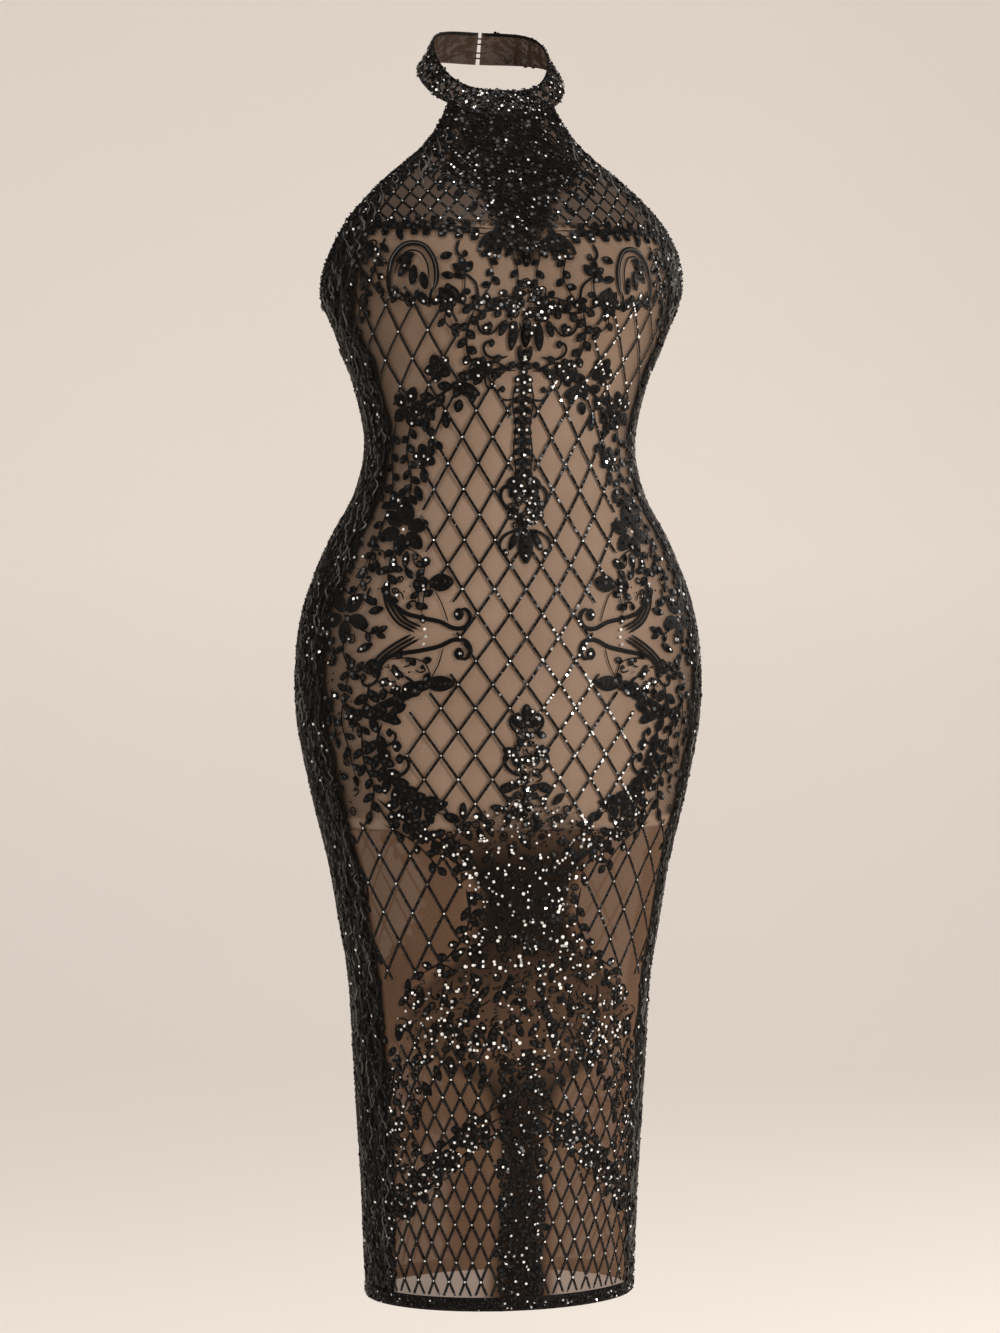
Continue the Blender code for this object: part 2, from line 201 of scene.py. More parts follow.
class Socket:
    # a node socket that can be added, multiplied and so on

    def __init__(self, tree, socket):
        self.tree, self.socket = tree, socket

    def node(self, kind, settings=None, values=None, out=0):
        made = self.tree.nodes.new(kind)
        for name, value in (settings or {}).items():
            setattr(made, name, value)
        for name, value in (values or {}).items():
            if isinstance(value, Socket):
                self.tree.links.new(value.socket, made.inputs[name])
            else:
                made.inputs[name].default_value = value
        return Socket(self.tree, made.outputs[out])

    def maths(self, operation, first, second=0.0):
        return self.node("ShaderNodeMath", {"operation": operation}, {0: first, 1: second})

    def __add__(self, other):
        return self.maths("ADD", self, other)

    def __sub__(self, other):
        return self.maths("SUBTRACT", self, other)

    def __rsub__(self, other):
        return self.maths("SUBTRACT", other, self)

    def __mul__(self, other):
        return self.maths("MULTIPLY", self, other)

    __radd__ = __add__
    __rmul__ = __mul__

    def sine(self):
        return self.maths("SINE", self)

    def size(self):
        return self.maths("ABSOLUTE", self)

    def between(self, low, high):   # 0 below low, 1 above high, smooth between
        values = {"Value": self, "From Min": low, "From Max": high}
        return self.node("ShaderNodeMapRange", {"interpolation_type": "SMOOTHSTEP"}, values)

    def blend(self, first, second):   # a colour, this socket being the factor
        return self.node("ShaderNodeMix", {"data_type": "RGBA"}, {0: self, 6: first, 7: second}, out=2)

    def bump(self, strength, distance):
        return self.node(
            "ShaderNodeBump", None, {"Strength": strength, "Distance": distance, "Height": self}
        )


def newFinish(name, colour, roughness, metallic=0.0, **constants):
    made = bpy.data.materials.new(name)
    made.use_nodes = True
    tree = made.node_tree
    shader = tree.nodes["Principled BSDF"]
    shader.inputs["Base Color"].default_value = (*colour, 1)
    shader.inputs["Roughness"].default_value = roughness
    shader.inputs["Metallic"].default_value = metallic
    for key, value in constants.items():
        shader.inputs[key.replace("_", " ")].default_value = value
    start = Socket(tree, shader.outputs[0])

    def feed(**links):
        for key, socket in links.items():
            tree.links.new(socket.socket, shader.inputs[key.replace("_", " ")])

    return made, start, feed


def placeOf(start):
    return start.node("ShaderNodeTexCoord", out="Object")


def heightOf(start):
    return start.node("ShaderNodeSeparateXYZ", None, {0: placeOf(start)}, out="Z")


def noiseOf(start, scale, detail=2.0):
    values = {"Scale": scale, "Detail": detail, "Vector": placeOf(start)}
    return start.node("ShaderNodeTexNoise", None, values)


net = {
    "thread": (0.055, 0.035, 0.024),   # brown where it is open, black where it is worked or painted in shade
    "skirtThread": (0.130, 0.075, 0.047),
    "workedAndShade": (0.0045, 0.0032, 0.0022),
    "overSlip": 0.32,          # how much the mesh hides where the slip lies under it
    "yoke": 0.97,              # above the slip; painted shade: nearly opaque, so the yoke reads dark as if shade lay behind it
    "collar": 0.95,
    "skirt": 0.80,             # below the slip
    "pitch": 0.0016,           # metres from thread to thread
    "slant": 0.6,
    "contrast": 0.10,
    "cloud": 0.08,
    "denseAndShade": 0.60,             # more where the needlework is closest and where shade is painted
    "darkens": (0.1, 0.7),     # how close or how shaded it is where the mesh turns black
}


def netFinish(name, yoke):
    made, start, feed = newFinish(name, net["thread"], 0.75, Specular_IOR_Level=0.05)
    uv = start.node("ShaderNodeTexCoord", out="UV")
    u = start.node("ShaderNodeSeparateXYZ", None, {0: uv}, out="X")
    v = start.node("ShaderNodeSeparateXYZ", None, {0: uv}, out="Y")
    turns = math.pi / net["pitch"] / 10
    first = ((u + v * net["slant"]) * turns).sine().size()
    second = ((u - v * net["slant"]) * turns).sine().size()
    weave = (first * second - 0.4) * -net["contrast"]
    z = heightOf(start)
    hem, top = -figure["slipHem"] / 100, -figure["slipTop"] / 100
    below = 1 - z.between(hem, hem + 0.002)
    above = z.between(top - 0.005, top - 0.002)    # both inside the slip's edges
    # painted shade: over the yoke the mesh is made nearly opaque
    hides = below * (net["skirt"] - net["overSlip"]) + above * (yoke - net["overSlip"]) + net["overSlip"]
    cloudy = (noiseOf(start, 14.0) - 0.5) * net["cloud"]
    denseAndShade = start.node("ShaderNodeAttribute", {"attribute_name": "denseAndShade"}, out="Fac")
    tint = below.blend((*net["thread"], 1), (*net["skirtThread"], 1))
    # painted shade: the mesh turns black where the needlework is close and where the sides are shaded
    feed(Base_Color=denseAndShade.between(*net["darkens"]).blend(tint, (*net["workedAndShade"], 1)))
    feed(Alpha=hides + weave + cloudy + denseAndShade * net["denseAndShade"])
    return made


slip = {
    "colour": (0.465, 0.322, 0.230),
    "deep": (0.420, 0.285, 0.198),
    # painted shade: a darker slip colour over the bust, where shade falls under and between the cups
    "bust": (0.340, 0.228, 0.155),
    "bustZ": (-0.34, -0.22),   # where the painted shade of the bust fades in
    "wall": 0.0008,
    "lift": -0.20,             # centimetres, inside the shell
    "rows": 180,
    "backRows": 160,
    "columns": 96,
}


def slipFinish():
    made, start, feed = newFinish("slipJersey", slip["colour"], 0.62, Specular_IOR_Level=0.3)
    cloud = noiseOf(start, 22.0, 3.0).between(0.35, 0.75)
    body = cloud.blend((*slip["colour"], 1), (*slip["deep"], 1))
    # painted shade: the slip takes the darker bust colour from the waist up
    low = 1 - heightOf(start).between(*slip["bustZ"])
    feed(Base_Color=low.blend((*slip["bust"], 1), body))
    feed(Normal=noiseOf(start, 900.0, 2.0).bump(0.25, 0.0006))
    return made


sequin = {
    "colour": (0.0025, 0.0022, 0.002),
    "lit": (0.007, 0.006, 0.005),
    # painted glint: a near-white base, so the spangles read as catching the light from any side
    "spangle": (0.95, 0.93, 0.90),
    "shadedSpangle": (0.35, 0.33, 0.31),       # painted shade: a greyer spangle, as one turned away from the light
}


def sequinFinish():
    made, start, feed = newFinish("blackSequins", sequin["colour"], 0.25, 0.0, Specular_IOR_Level=0.20)
    tone = start.node("ShaderNodeAttribute", {"attribute_name": "tone"}, out="Fac")
    feed(Base_Color=tone.blend((*sequin["colour"], 1), (*sequin["lit"], 1)))
    feed(Roughness=tone * 0.25 + 0.12)
    return made


def spangleFinish():
    made, start, feed = newFinish("spanglesPaintedGlint", sequin["spangle"], 0.10, 0.25)
    tone = start.node("ShaderNodeAttribute", {"attribute_name": "tone"}, out="Fac")
    # painted glint and painted shade: the random tone picks a white or a greyer spangle
    feed(Base_Color=tone.between(0.0, 0.5).blend((*sequin["shadedSpangle"], 1), (*sequin["spangle"], 1)))
    feed(Roughness=0.22 - tone * 0.14)
    return made


thread = {
    "black": (0.0022, 0.0016, 0.0012),
    "binding": (0.0028, 0.0022, 0.0018),
    "paintedSheen": (0.130, 0.122, 0.112),     # painted sheen: the grey that stands in for light along the glossiest cords
    "button": (0.006, 0.005, 0.0045),
}


def threadFinish(name, colour):
    made, start, feed = newFinish(name, colour, 0.55, Specular_IOR_Level=0.10)
    wool = noiseOf(start, 420.0, 3.0)
    tone = start.node("ShaderNodeAttribute", {"attribute_name": "tone"}, out="Fac")
    # painted sheen: the tone attribute turns a cord from black to grey
    feed(Base_Color=tone.blend((*colour, 1), (*thread["paintedSheen"], 1)))
    feed(Roughness=wool * 0.4 + 0.3, Normal=wool.bump(0.6, 0.0010))
    return made


finishes = {
    "netFront": netFinish("netFront", net["yoke"]),
    "netBack": netFinish("netBack", net["skirt"]),
    "netCollar": netFinish("netCollar", net["collar"]),
    "slip": slipFinish(),
    "sequin": sequinFinish(),
    "spangle": spangleFinish(),
    "thread": threadFinish("blackThread", thread["black"]),
    "binding": threadFinish("beadedBinding", thread["binding"]),
}
print("stage: finishes")


def newPiece(name, points, faces, finish, smooth=False, tone=None, uv=None):
    # faces is an array of corner numbers, one row a face
    points, faces = np.asarray(points, np.float32), np.asarray(faces, np.int32)
    mesh = bpy.data.meshes.new(name)
    mesh.vertices.add(len(points))
    mesh.vertices.foreach_set("co", points.ravel())
    mesh.loops.add(faces.size)
    mesh.loops.foreach_set("vertex_index", faces.ravel())
    mesh.polygons.add(len(faces))
    mesh.polygons.foreach_set("loop_start", np.arange(len(faces), dtype=np.int32) * faces.shape[1])
    mesh.update(calc_edges=True)
    mesh.validate()
    mesh.polygons.foreach_set("use_smooth", np.full(len(mesh.polygons), smooth))
    if tone is not None:
        made = mesh.attributes.new("tone", "FLOAT", "POINT")
        made.data.foreach_set("value", np.asarray(tone, np.float32))
    if uv is not None:
        layer = mesh.uv_layers.new(name="UVMap")
        layer.data.foreach_set("uv", np.asarray(uv, np.float32)[faces.ravel()].ravel())
    mesh.materials.append(finish)
    piece = bpy.data.objects.new(name, mesh)
    bpy.context.scene.collection.objects.link(piece)
    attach(piece, "root")
    return piece


def gridFaces(rows, columns):
    i, j = np.meshgrid(np.arange(rows - 1), np.arange(columns - 1), indexing="ij")
    corner = i * columns + j
    return np.stack([corner, corner + columns, corner + columns + 1, corner + 1], -1).reshape(-1, 4)


def clothSheet(name, cloth, top, foot, lift, finish, slot, rows, columns, wall=None, wrinkle=None):
    down = np.linspace(top, foot, rows)[:, None] + np.zeros(columns)
    share = np.linspace(-1, 1, columns) + np.zeros((rows, 1))
    across = share * cloth.halfAt(down)
    rise = lift + (wrinkle(across, down) if wrinkle else 0.0) + 0 * down
    points, _ = cloth.at(across, down, rise)
    uv = np.stack([across / 10, down / 10], -1).reshape(-1, 2)
    faces = gridFaces(rows, columns)
    if cloth.side > 0:
        faces = faces[:, ::-1]
    piece = newPiece(name, points.reshape(-1, 3), faces, finish, True, uv=uv)
    if not wall and cloth is not cloths["collar"]:
        made = piece.data.attributes.new("denseAndShade", "FLOAT", "POINT")
        made.data.foreach_set("value", densenessAndShade(cloth, across, down).ravel().astype(np.float32))
    if wall:
        solid = piece.modifiers.new("wall", "SOLIDIFY")
        solid.thickness, solid.offset = wall, -1.0
    return piece


def panelCloth(side, columns=241, perRow=14):
    rows = panelRows(side)
    places = np.linspace(0, len(rows) - 1, (len(rows) - 1) * perRow + 1)
    wide = np.linspace(-1, 1, columns)
    rough = panelPoint(rows, places[:, None] + 0 * wide, wide + 0 * places[:, None], side)
    return Cloth(side, rough, -rowsBetween(rows, places)[:, 0] * 100)


def collarCloth(columns=361):
    share = np.linspace(0, 1, 21)[:, None, None]
    reach = math.pi - 0.002 / figure["collarFoot"][0]
    angles = np.linspace(-reach, reach, columns)
    top, foot = collarEdge(figure["collarTop"], angles), collarEdge(figure["collarFoot"], angles)
    return Cloth(-1, top + (foot - top) * share, share[:, 0, 0] * figure["collarHigh"])


cloths = {"front": panelCloth(-1), "back": panelCloth(1), "collar": collarCloth()}
print("stage: surfaces", [round(float(c.half.max()), 1) for c in cloths.values()])


def lineStops(stops, down):
    stops = np.array(stops)
    return np.interp(down, stops[:, 0], stops[:, 1])


bands = {
    "armhole": 1.7,            # width of the strip along each armhole
    "armholeFoot": 17,
    "backInset": 2.2,
    "fade": 1.5,
}
density = {
    "shade": 0.5,              # painted shade: the front's sides over the slip made darker and closer
    "shadeDown": (20, 73.5),
    "middleFade": 2.6,
    "yoke": 0.85,
    "yokeFade": 1.2,
    "yokeFoot": 21,
}
bandStart = (                  # down, where the dense sides begin
    (5, 30), (13, 13.0), (15, 14.3), (18, 15.8), (22, 18.2), (26, 19.2), (30, 15.8), (36, 13.6), (42, 14.4),
    (48, 17.2), (54, 19.8),
    (60, 20.3), (66, 19.8), (72, 18.3), (78, 16.4), (84, 15.3), (90, 14.2), (96, 13.6), (102, 13.0),
    (108, 12.7), (120, 13.0),
)


def bandFrom(cloth, down):
    # where the dense side begins: a strip along the armhole, then the whole side
    edge = cloth.halfAt(down)
    if cloth.side > 0:
        return np.minimum(lineStops(bandStart, down) + bands["backInset"], edge)
    strip = bands["armhole"] * (np.asarray(down) < bands["armholeFoot"])
    return np.minimum(lineStops(bandStart, down), edge - strip)


# down, half width
thighCluster = (
    (71, 1.2), (73.5, 6.2), (75.5, 8.2), (78, 6.6), (80, 5.2), (83, 5.2), (86, 6.6), (88, 9.0),
    (90.5, 12.2), (93, 12.8), (96, 10.0), (99, 4.6), (102, 3.2), (106, 2.6), (112, 3.0), (119, 3.2)
)
yokeCluster = (
    (5.3, 4.4), (8.0, 5.0), (10.0, 6.4), (11.4, 7.6), (12.6, 6.4), (13.6, 4.8), (15, 3.6), (17.4, 2.7),
    (20.5, 1.6)
)
# down, how dense
thighDense = (
    (70, 0.0), (73.4, 0.35), (78, 0.62), (84, 0.62), (90, 0.42), (96, 0.36), (100, 0.58), (119, 0.62)
)


def densenessAndShade(cloth, across, down):
    # how close the needlework is, 0 to 1: the sides, the head of the yoke, the thighs, with painted shade
    # added towards the front's sides
    wide = np.abs(across)
    high, low = density["shadeDown"]
    # painted shade: between these depths the front grows darker towards its sides
    shade = density["shade"] * ((down < low) & (down > high)) if cloth.side < 0 else 0.0
    start = bandFrom(cloth, down)
    nearSide = np.clip((wide - start * 0.6) / (start * 0.4), 0, 1) ** 1.5
    sides = np.clip((wide - start) / bands["fade"] + 0.5, 0, 1) + shade * nearSide
    inThighs = np.clip((lineStops(thighCluster, down) - wide) / density["middleFade"] + 0.35, 0, 1)
    middle = lineStops(thighDense, down) * inThighs
    if cloth.side < 0:
        inYoke = np.clip((lineStops(yokeCluster, down) - wide - 0.5) / density["yokeFade"] + 0.5, 0, 1)
        middle = middle + density["yoke"] * inYoke * (down < density["yokeFoot"])
    return np.clip(sides + middle, 0, 1)


def fold(across, down, folds):   # soft creases: (down, across, length, width, depth, slope)
    rise = 0.0
    for mid, side, length, wide, deep, slope in folds:
        far = down - mid - (across - side) * slope
        rise = rise + deep * np.exp(-(far / wide) ** 2 - ((across - side) / length) ** 2)
    return rise


creases = {
    "front": (                 # in centimetres, as fold() takes them
        (26.5, -6.0, 7.0, 1.3, -0.10, 0.18),
        (28.6, 5.5, 7.0, 1.2, -0.10, -0.20),
        (31.0, -2.0, 9.0, 1.0, -0.08, 0.10),
        (34.0, 6.0, 6.0, 0.9, -0.06, 0.25),
        (36.5, -6.0, 6.0, 0.8, -0.06, -0.20),
        (38.6, 3.0, 8.0, 0.8, -0.07, 0.12),
        (41.0, -4.0, 8.0, 0.9, -0.06, -0.12),
        (66.5, 0.0, 15.0, 1.6, -0.08, 0.05),
        (69.5, -7.0, 8.0, 1.2, -0.07, 0.25),
        (70.0, 8.0, 8.0, 1.2, -0.07, -0.22),
    ),
    "back": (
        (36.5, 4.0, 9.0, 1.0, -0.08, 0.10),
        (39.5, -4.0, 9.0, 1.0, -0.08, -0.12),
        (70.0, 0.0, 14.0, 1.4, -0.06, 0.0),
    ),
}

shell = {
    "top": 5.29,
    "backTop": 24.0,
    "foot": -figure["hemZ"] * 100 - 0.02,
    "rows": 460,
    "backRows": 380,
    "columns": 150,
    "collarRows": 12,
    "collarColumns": 260,
}


def netSheet(side, top, rows):
    cloth, finish = cloths[side], finishes["net" + side.capitalize()]
    return clothSheet(
        "net_" + side, cloth, top, shell["foot"], 0.0, finish, "sheer_mesh", rows, shell["columns"]
    )


def slipSheet(side, top, rows):
    def wrinkle(across, down):
        return fold(across, down, creases[side])

    size = (top, figure["slipHem"], slip["lift"], finishes["slip"], "nude_slip", rows, slip["columns"])
    return clothSheet("slip_" + side, cloths[side], *size, slip["wall"], wrinkle)


netFront = netSheet("front", shell["top"], shell["rows"])
netBack = netSheet("back", shell["backTop"], shell["backRows"])
slipFront = slipSheet("front", figure["slipTop"], slip["rows"])
slipBack = slipSheet("back", figure["slipBackTop"], slip["backRows"])
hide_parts("front_panel")
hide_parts("back_panel")
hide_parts("lining_front")
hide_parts("lining_back")
print("stage: cloth")


def smoothPath(points, step=0.25):
    points = np.asarray(points, float)
    if len(points) > 2:
        ends = np.vstack([2 * points[0] - points[1], points, 2 * points[-1] - points[-2]])
        t = np.linspace(0, 1, 9)[:-1, None]
        spans = zip(ends, ends[1:], ends[2:], ends[3:])
        curves = [spline(*span, t) for span in spans]
        points = np.vstack(curves + [points[-1:]])
    run = np.concatenate([[0], np.linalg.norm(np.diff(points, axis=0), axis=1).cumsum()])
    even = np.linspace(0, run[-1], max(int(round(run[-1] / step)), 2) + 1)
    return np.stack([np.interp(even, run, points[:, k]) for k in (0, 1)], 1)


def heading(angle):
    return np.array([math.cos(math.radians(angle)), math.sin(math.radians(angle))])


stitch = {
    "cord": 0.29,              # centimetres, the width of a scroll's cord
    "cordHeight": 0.055,
    "leafHeight": 0.09,
    "bold": 1.42,              # leaves and petals, against their drawn width
    "long": 1.12,
    "sequin": 0.135,           # radius
    "spangle": 0.135,
    "lattice": 0.118,
    "latticeCord": 0.25,
    "latticeStep": 0.19,
    "tilt": 0.30,              # radians
    "loose": 5,                # sequins strewn on a square centimetre of a cluster
}


class Needlework:
    # raised cords, leaves and sequins, gathered in cloth places and sewn at the end

    def __init__(self, seed):
        self.spots, self.faces, self.total, self.tones = [], [], 0, []
        self.sequins, self.spangles = [], []
        self.chance = np.random.default_rng(seed)
        self.mirror = True

    def copies(self):
        return (1, -1) if self.mirror else (1,)

    def stroke(self, path, width=None, height=None, smooth=True, tone=0.0, blunt=False, step=0.25):
        path = smoothPath(path, step) if smooth else np.asarray(path, float)
        width = stitch["cord"] if width is None else width
        height = stitch["cordHeight"] if height is None else height
        t = np.linspace(0, 1, len(path))
        if callable(width):
            width = width(t)
        elif not blunt:
            width = width * np.clip(np.minimum(t, 1 - t) * 8 + 0.25, 0, 1)
        along = np.gradient(path, axis=0)
        along /= np.maximum(np.linalg.norm(along, axis=1, keepdims=True), 1e-6)
        out = np.stack([-along[:, 1], along[:, 0]], 1) * (
            np.asarray(width) / 2 * np.ones(len(path))
        )[:, None]
        rise = height * np.clip(np.minimum(t, 1 - t) * 8 + 0.3, 0, 1)
        for side in self.copies():
            sign = np.array([side, 1.0])
            rails = [path + out, path, path - out][::side]
            heights = (0.012, rise, 0.012)
            spots = [
                np.column_stack([rail * sign, lift * np.ones(len(path))])
                for rail, lift in zip(rails, heights)
            ]
            spots = np.stack(spots, 1)
            self.spots.append(spots.reshape(-1, 3))
            self.faces.append(gridFaces(len(path), 3)[:, ::-1] + self.total)
            self.total += spots.shape[0] * 3
            self.tones.append(np.full(spots.shape[0] * 3, tone))

    def sew(self, across, down, radius=None, lift=0.09, bright=False, tilt=None):
        radius = radius or (stitch["spangle"] if bright else stitch["sequin"])
        target = self.spangles if bright else self.sequins
        for side in self.copies():
            target.append((across * side, down, lift, radius, stitch["tilt"] if tilt is None else tilt))

    def leaf(self, x, y, angle, length=1.1, width=0.52, beads=2, bright=0.12):
        way = heading(angle)
        width, length = width * stitch["bold"], length * stitch["long"]
        start, end = np.array([x, y]), np.array([x, y]) + way * length
        self.stroke(
            [start, (start + end) / 2, end],
            lambda t: 0.07 + width * np.sin(np.pi * np.clip(t * 0.94 + 0.03, 0, 1)) ** 0.75,
            stitch["leafHeight"], step=0.2
        )
        for k in range(beads):
            spot = start + way * length * (k + 0.8) / (beads + 0.6)
            spot = spot + self.chance.normal(0, 0.03, 2)
            self.sew(spot[0], spot[1], min(width * 0.40, 0.19), stitch["leafHeight"] + 0.03)
        if self.chance.random() < bright:
            spot = start + way * length * self.chance.uniform(0.3, 0.8)
            self.sew(spot[0], spot[1], None, stitch["leafHeight"] + 0.06, True)

    def ball(self, x, y, size=0.5, bright=0.25):
        self.leaf(x - size / 2, y, 0.0, size, size * 0.95, 1, bright)

    def ring(self, x, y, size=0.62, width=0.15, flat=0.8, lean=0.0):
        turn = np.linspace(0, 2 * math.pi, 11)
        spin = math.radians(lean)
        a, b = size / 2 * np.cos(turn), size / 2 * flat * np.sin(turn)
        alongX = x + a * math.cos(spin) - b * math.sin(spin)
        alongY = y + a * math.sin(spin) + b * math.cos(spin)
        self.stroke(np.stack([alongX, alongY], 1), width, smooth=False, blunt=True)
        self.sew(x, y, size * 0.24)

    def curl(self, x, y, angle, length, turn, width=None, end=0.42, bright=0.3):
        n = max(int(length / 0.22), 10)
        t = np.linspace(0, 1, n)
        angles = math.radians(angle) + math.radians(turn) * t ** 1.7
        steps = length / n * (1.25 - 0.75 * t) * 1.12
        alongX = x + np.concatenate([[0], (steps * np.cos(angles))[:-1].cumsum()])
        alongY = y + np.concatenate([[0], (steps * np.sin(angles))[:-1].cumsum()])
        self.stroke(np.stack([alongX, alongY], 1), width, smooth=False)
        if end:
            self.ball(alongX[-1], alongY[-1], end, bright)

    def leaves(self, rows, *rest):
        for x, y, angle, length in rows:
            self.leaf(x, y, angle, length, *rest)

    def flower(self, x, y, size=1.5, petals=5, start=20.0, bright=0.2, width=0.55):
        for k in range(petals):
            angle = start + k * 360 / petals
            way = heading(angle)
            self.leaf(
                x + way[0] * size * 0.12, y + way[1] * size * 0.12, angle, size * 0.5, width, 1, bright
            )
        self.sew(x, y, 0.14, 0.14, self.chance.random() < 0.5)

    def twig(
        self, points, leaves=4, length=0.85, width=0.42, spread=50.0, bright=0.12, last=True, cord=0.13
    ):
        path = smoothPath(points)
        self.stroke(path, cord, smooth=False)
        spots = np.linspace(0.12, 0.9, leaves) * (len(path) - 1)
        for k, spot in enumerate(spots.astype(int)):
            way = path[min(spot + 1, len(path) - 1)] - path[max(spot - 1, 0)]
            angle = math.degrees(math.atan2(way[1], way[0]))
            side = -1 if k % 2 else 1
            self.leaf(
                path[spot, 0], path[spot, 1], angle + side * spread,
                length * self.chance.uniform(0.85, 1.1), width, 2, bright
            )
        if last:
            way = path[-1] - path[-3]
            self.leaf(
                path[-1, 0], path[-1, 1], math.degrees(math.atan2(way[1], way[0])), length, width, 2, bright
            )

    def cluster(self, inside, box, spacing, bright=0.12, sequins=1.0, leafShare=0.45, length=0.9):
        # scattered rings, leaves and curls, no two closer than the spacing
        x0, x1, y0, y1 = box
        kept = np.empty((0, 2))
        tries = self.chance.uniform((x0, y0), (x1, y1), (int((x1 - x0) * (y1 - y0) / spacing ** 2 * 9), 2))
        tries = tries[inside(tries[:, 0], tries[:, 1])]
        for spot in tries:
            if len(kept) == 0 or ((kept - spot) ** 2).sum(1).min() > spacing ** 2:
                kept = np.vstack([kept, spot])
        for x, y in kept:
            kind = self.chance.random()
            angle = self.chance.uniform(0, 360)
            if kind < leafShare:
                self.leaf(x, y, angle, length * self.chance.uniform(0.75, 1.2), 0.46, 2, bright)
            elif kind < leafShare + 0.3:
                self.ring(x, y, self.chance.uniform(0.55, 0.85), 0.16, 0.8, angle)
            else:
                self.curl(x, y, angle, length * 1.5, self.chance.choice([-1, 1]) * 260, 0.15, 0.34, bright)
        count = int((x1 - x0) * (y1 - y0) * stitch["loose"] * sequins)
        loose = self.chance.uniform((x0, y0), (x1, y1), (count, 2))
        for x, y in loose[inside(loose[:, 0], loose[:, 1])]:
            self.sew(
                x, y, self.chance.uniform(0.09, 0.15), self.chance.uniform(0.05, 0.13),
                self.chance.random() < bright * 0.35, 0.4
            )

    def build(self, name, cloth):
        spots = np.vstack(self.spots)
        points, _ = cloth.at(spots[:, 0], spots[:, 1], spots[:, 2] + lifts["cord"])
        faces = np.vstack(self.faces)
        if cloth.side > 0:
            faces = faces[:, ::-1]
        keep = np.all(np.abs(spots[faces][:, :, 0]) <= cloth.halfAt(spots[faces][:, :, 1]) + 0.02, axis=1)
        made = [
            newPiece(
                name + "_cords", points, faces[keep], finishes["thread"], True,
                np.concatenate(self.tones)
            )
        ]
        for kind, spread in (("sequins", self.sequins), ("spangles", self.spangles)):
            made.append(
                sewDiscs(
                    name + "_" + kind, cloth, np.array(spread),
                    finishes["sequin" if kind == "sequins" else "spangle"], self.chance
                )
            )
        print("stage:", name, [len(piece.data.polygons) for piece in made])
        return made


lifts = {"cord": 0.02, "disc": 0.02}


def sewDiscs(name, cloth, discs, finish, chance, sides=6):
    across, down, lift, radius, tilt = discs.T
    inside = np.abs(across) <= cloth.halfAt(down) - 0.03
    across, down, lift, radius, tilt = discs[inside].T
    count = len(across)
    middle, normal = cloth.at(across, down, lift + lifts["disc"])
    lean = normal + chance.normal(0, 1, (count, 3)) * tilt[:, None] * 0.7
    lean /= np.linalg.norm(lean, axis=1, keepdims=True)
    first = np.cross(lean, np.array([0.0, 0.0, 1.0]))
    first /= np.linalg.norm(first, axis=1, keepdims=True)
    second = np.cross(lean, first)
    turn = chance.uniform(0, 6.28, (count, 1)) + np.arange(sides) * 2 * math.pi / sides
    rim = radius[:, None, None] / 100 * (
        first[:, None] * np.cos(turn)[..., None] + second[:, None] * np.sin(turn)[..., None]
    )
    points = (middle[:, None] + rim).reshape(-1, 3)
    faces = np.arange(count * sides).reshape(count, sides)
    tone = np.repeat(chance.random(count), sides)
    return newPiece(name, points, faces, finish, False, tone)


lattices = {
    "yoke": {
        "down": (5.6, 17.6),
        "wide": ((5, 1.75), (18, 1.75)),
        "high": ((5, 1.9), (18, 1.9)),
        "inner": ((5, 3.8), (9, 4.6), (12.5, 4.0), (17.6, 2.6)),
        "outer": ((9, 40), (20, 40)),
        "phase": 0.5,
    },
    "body": {
        "down": (18.0, 89.0),
        "wide": ((18, 3.3), (26, 3.2), (38, 2.85), (46, 2.85), (60, 3.25), (72, 3.2), (90, 2.95)),
        "high": ((18, 4.6), (26, 4.9), (40, 5.0), (50, 4.6), (60, 4.4), (70, 4.5), (80, 5.5), (90, 5.7)),
        "inner": (
            (18, 13.8), (23.2, 13.6), (24.4, 8.8), (26.0, 6.8), (29.8, 6.0), (31.2, 1.6), (33.0, 0.9),
            (48, 0.9), (50, 0.0), (62, 0.0), (64, 0.9), (72, 0.9), (76, 6.5), (80, 5.8), (84, 5.6),
            (87, 7.0), (89, 8.0)
        ),
        "outer": (
            (18, 17), (26, 19.5), (33, 15), (36, 10.5), (50, 9.6), (53, 7.2), (55, 6.6), (59, 6.4),
            (61, 8.5), (63, 11.0), (68, 11.4), (71, 11), (73, 16), (76, 16.8), (89, 14.2)
        ),
        "phase": 0.0,
    },
    "skirt": {
        "down": (93.0, 118.7),
        "wide": ((93, 1.75), (104, 1.65), (119, 1.5)),
        "high": ((93, 3.4), (104, 3.4), (119, 3.75)),
        "inner": ((93, 3.4), (100, 2.6), (110, 1.6), (119, 1.4)),
        "outer": ((93, 11.5), (98, 12.6), (119, 13.6)),
        "phase": 0.5,
    },
}


glints = {                     # where the light catches the lattice, and the thighs
    "across": (1.5, 13),
    "down": ((54, 74), (22, 34)),
    "share": 0.17,
    "thighs": 210,
}


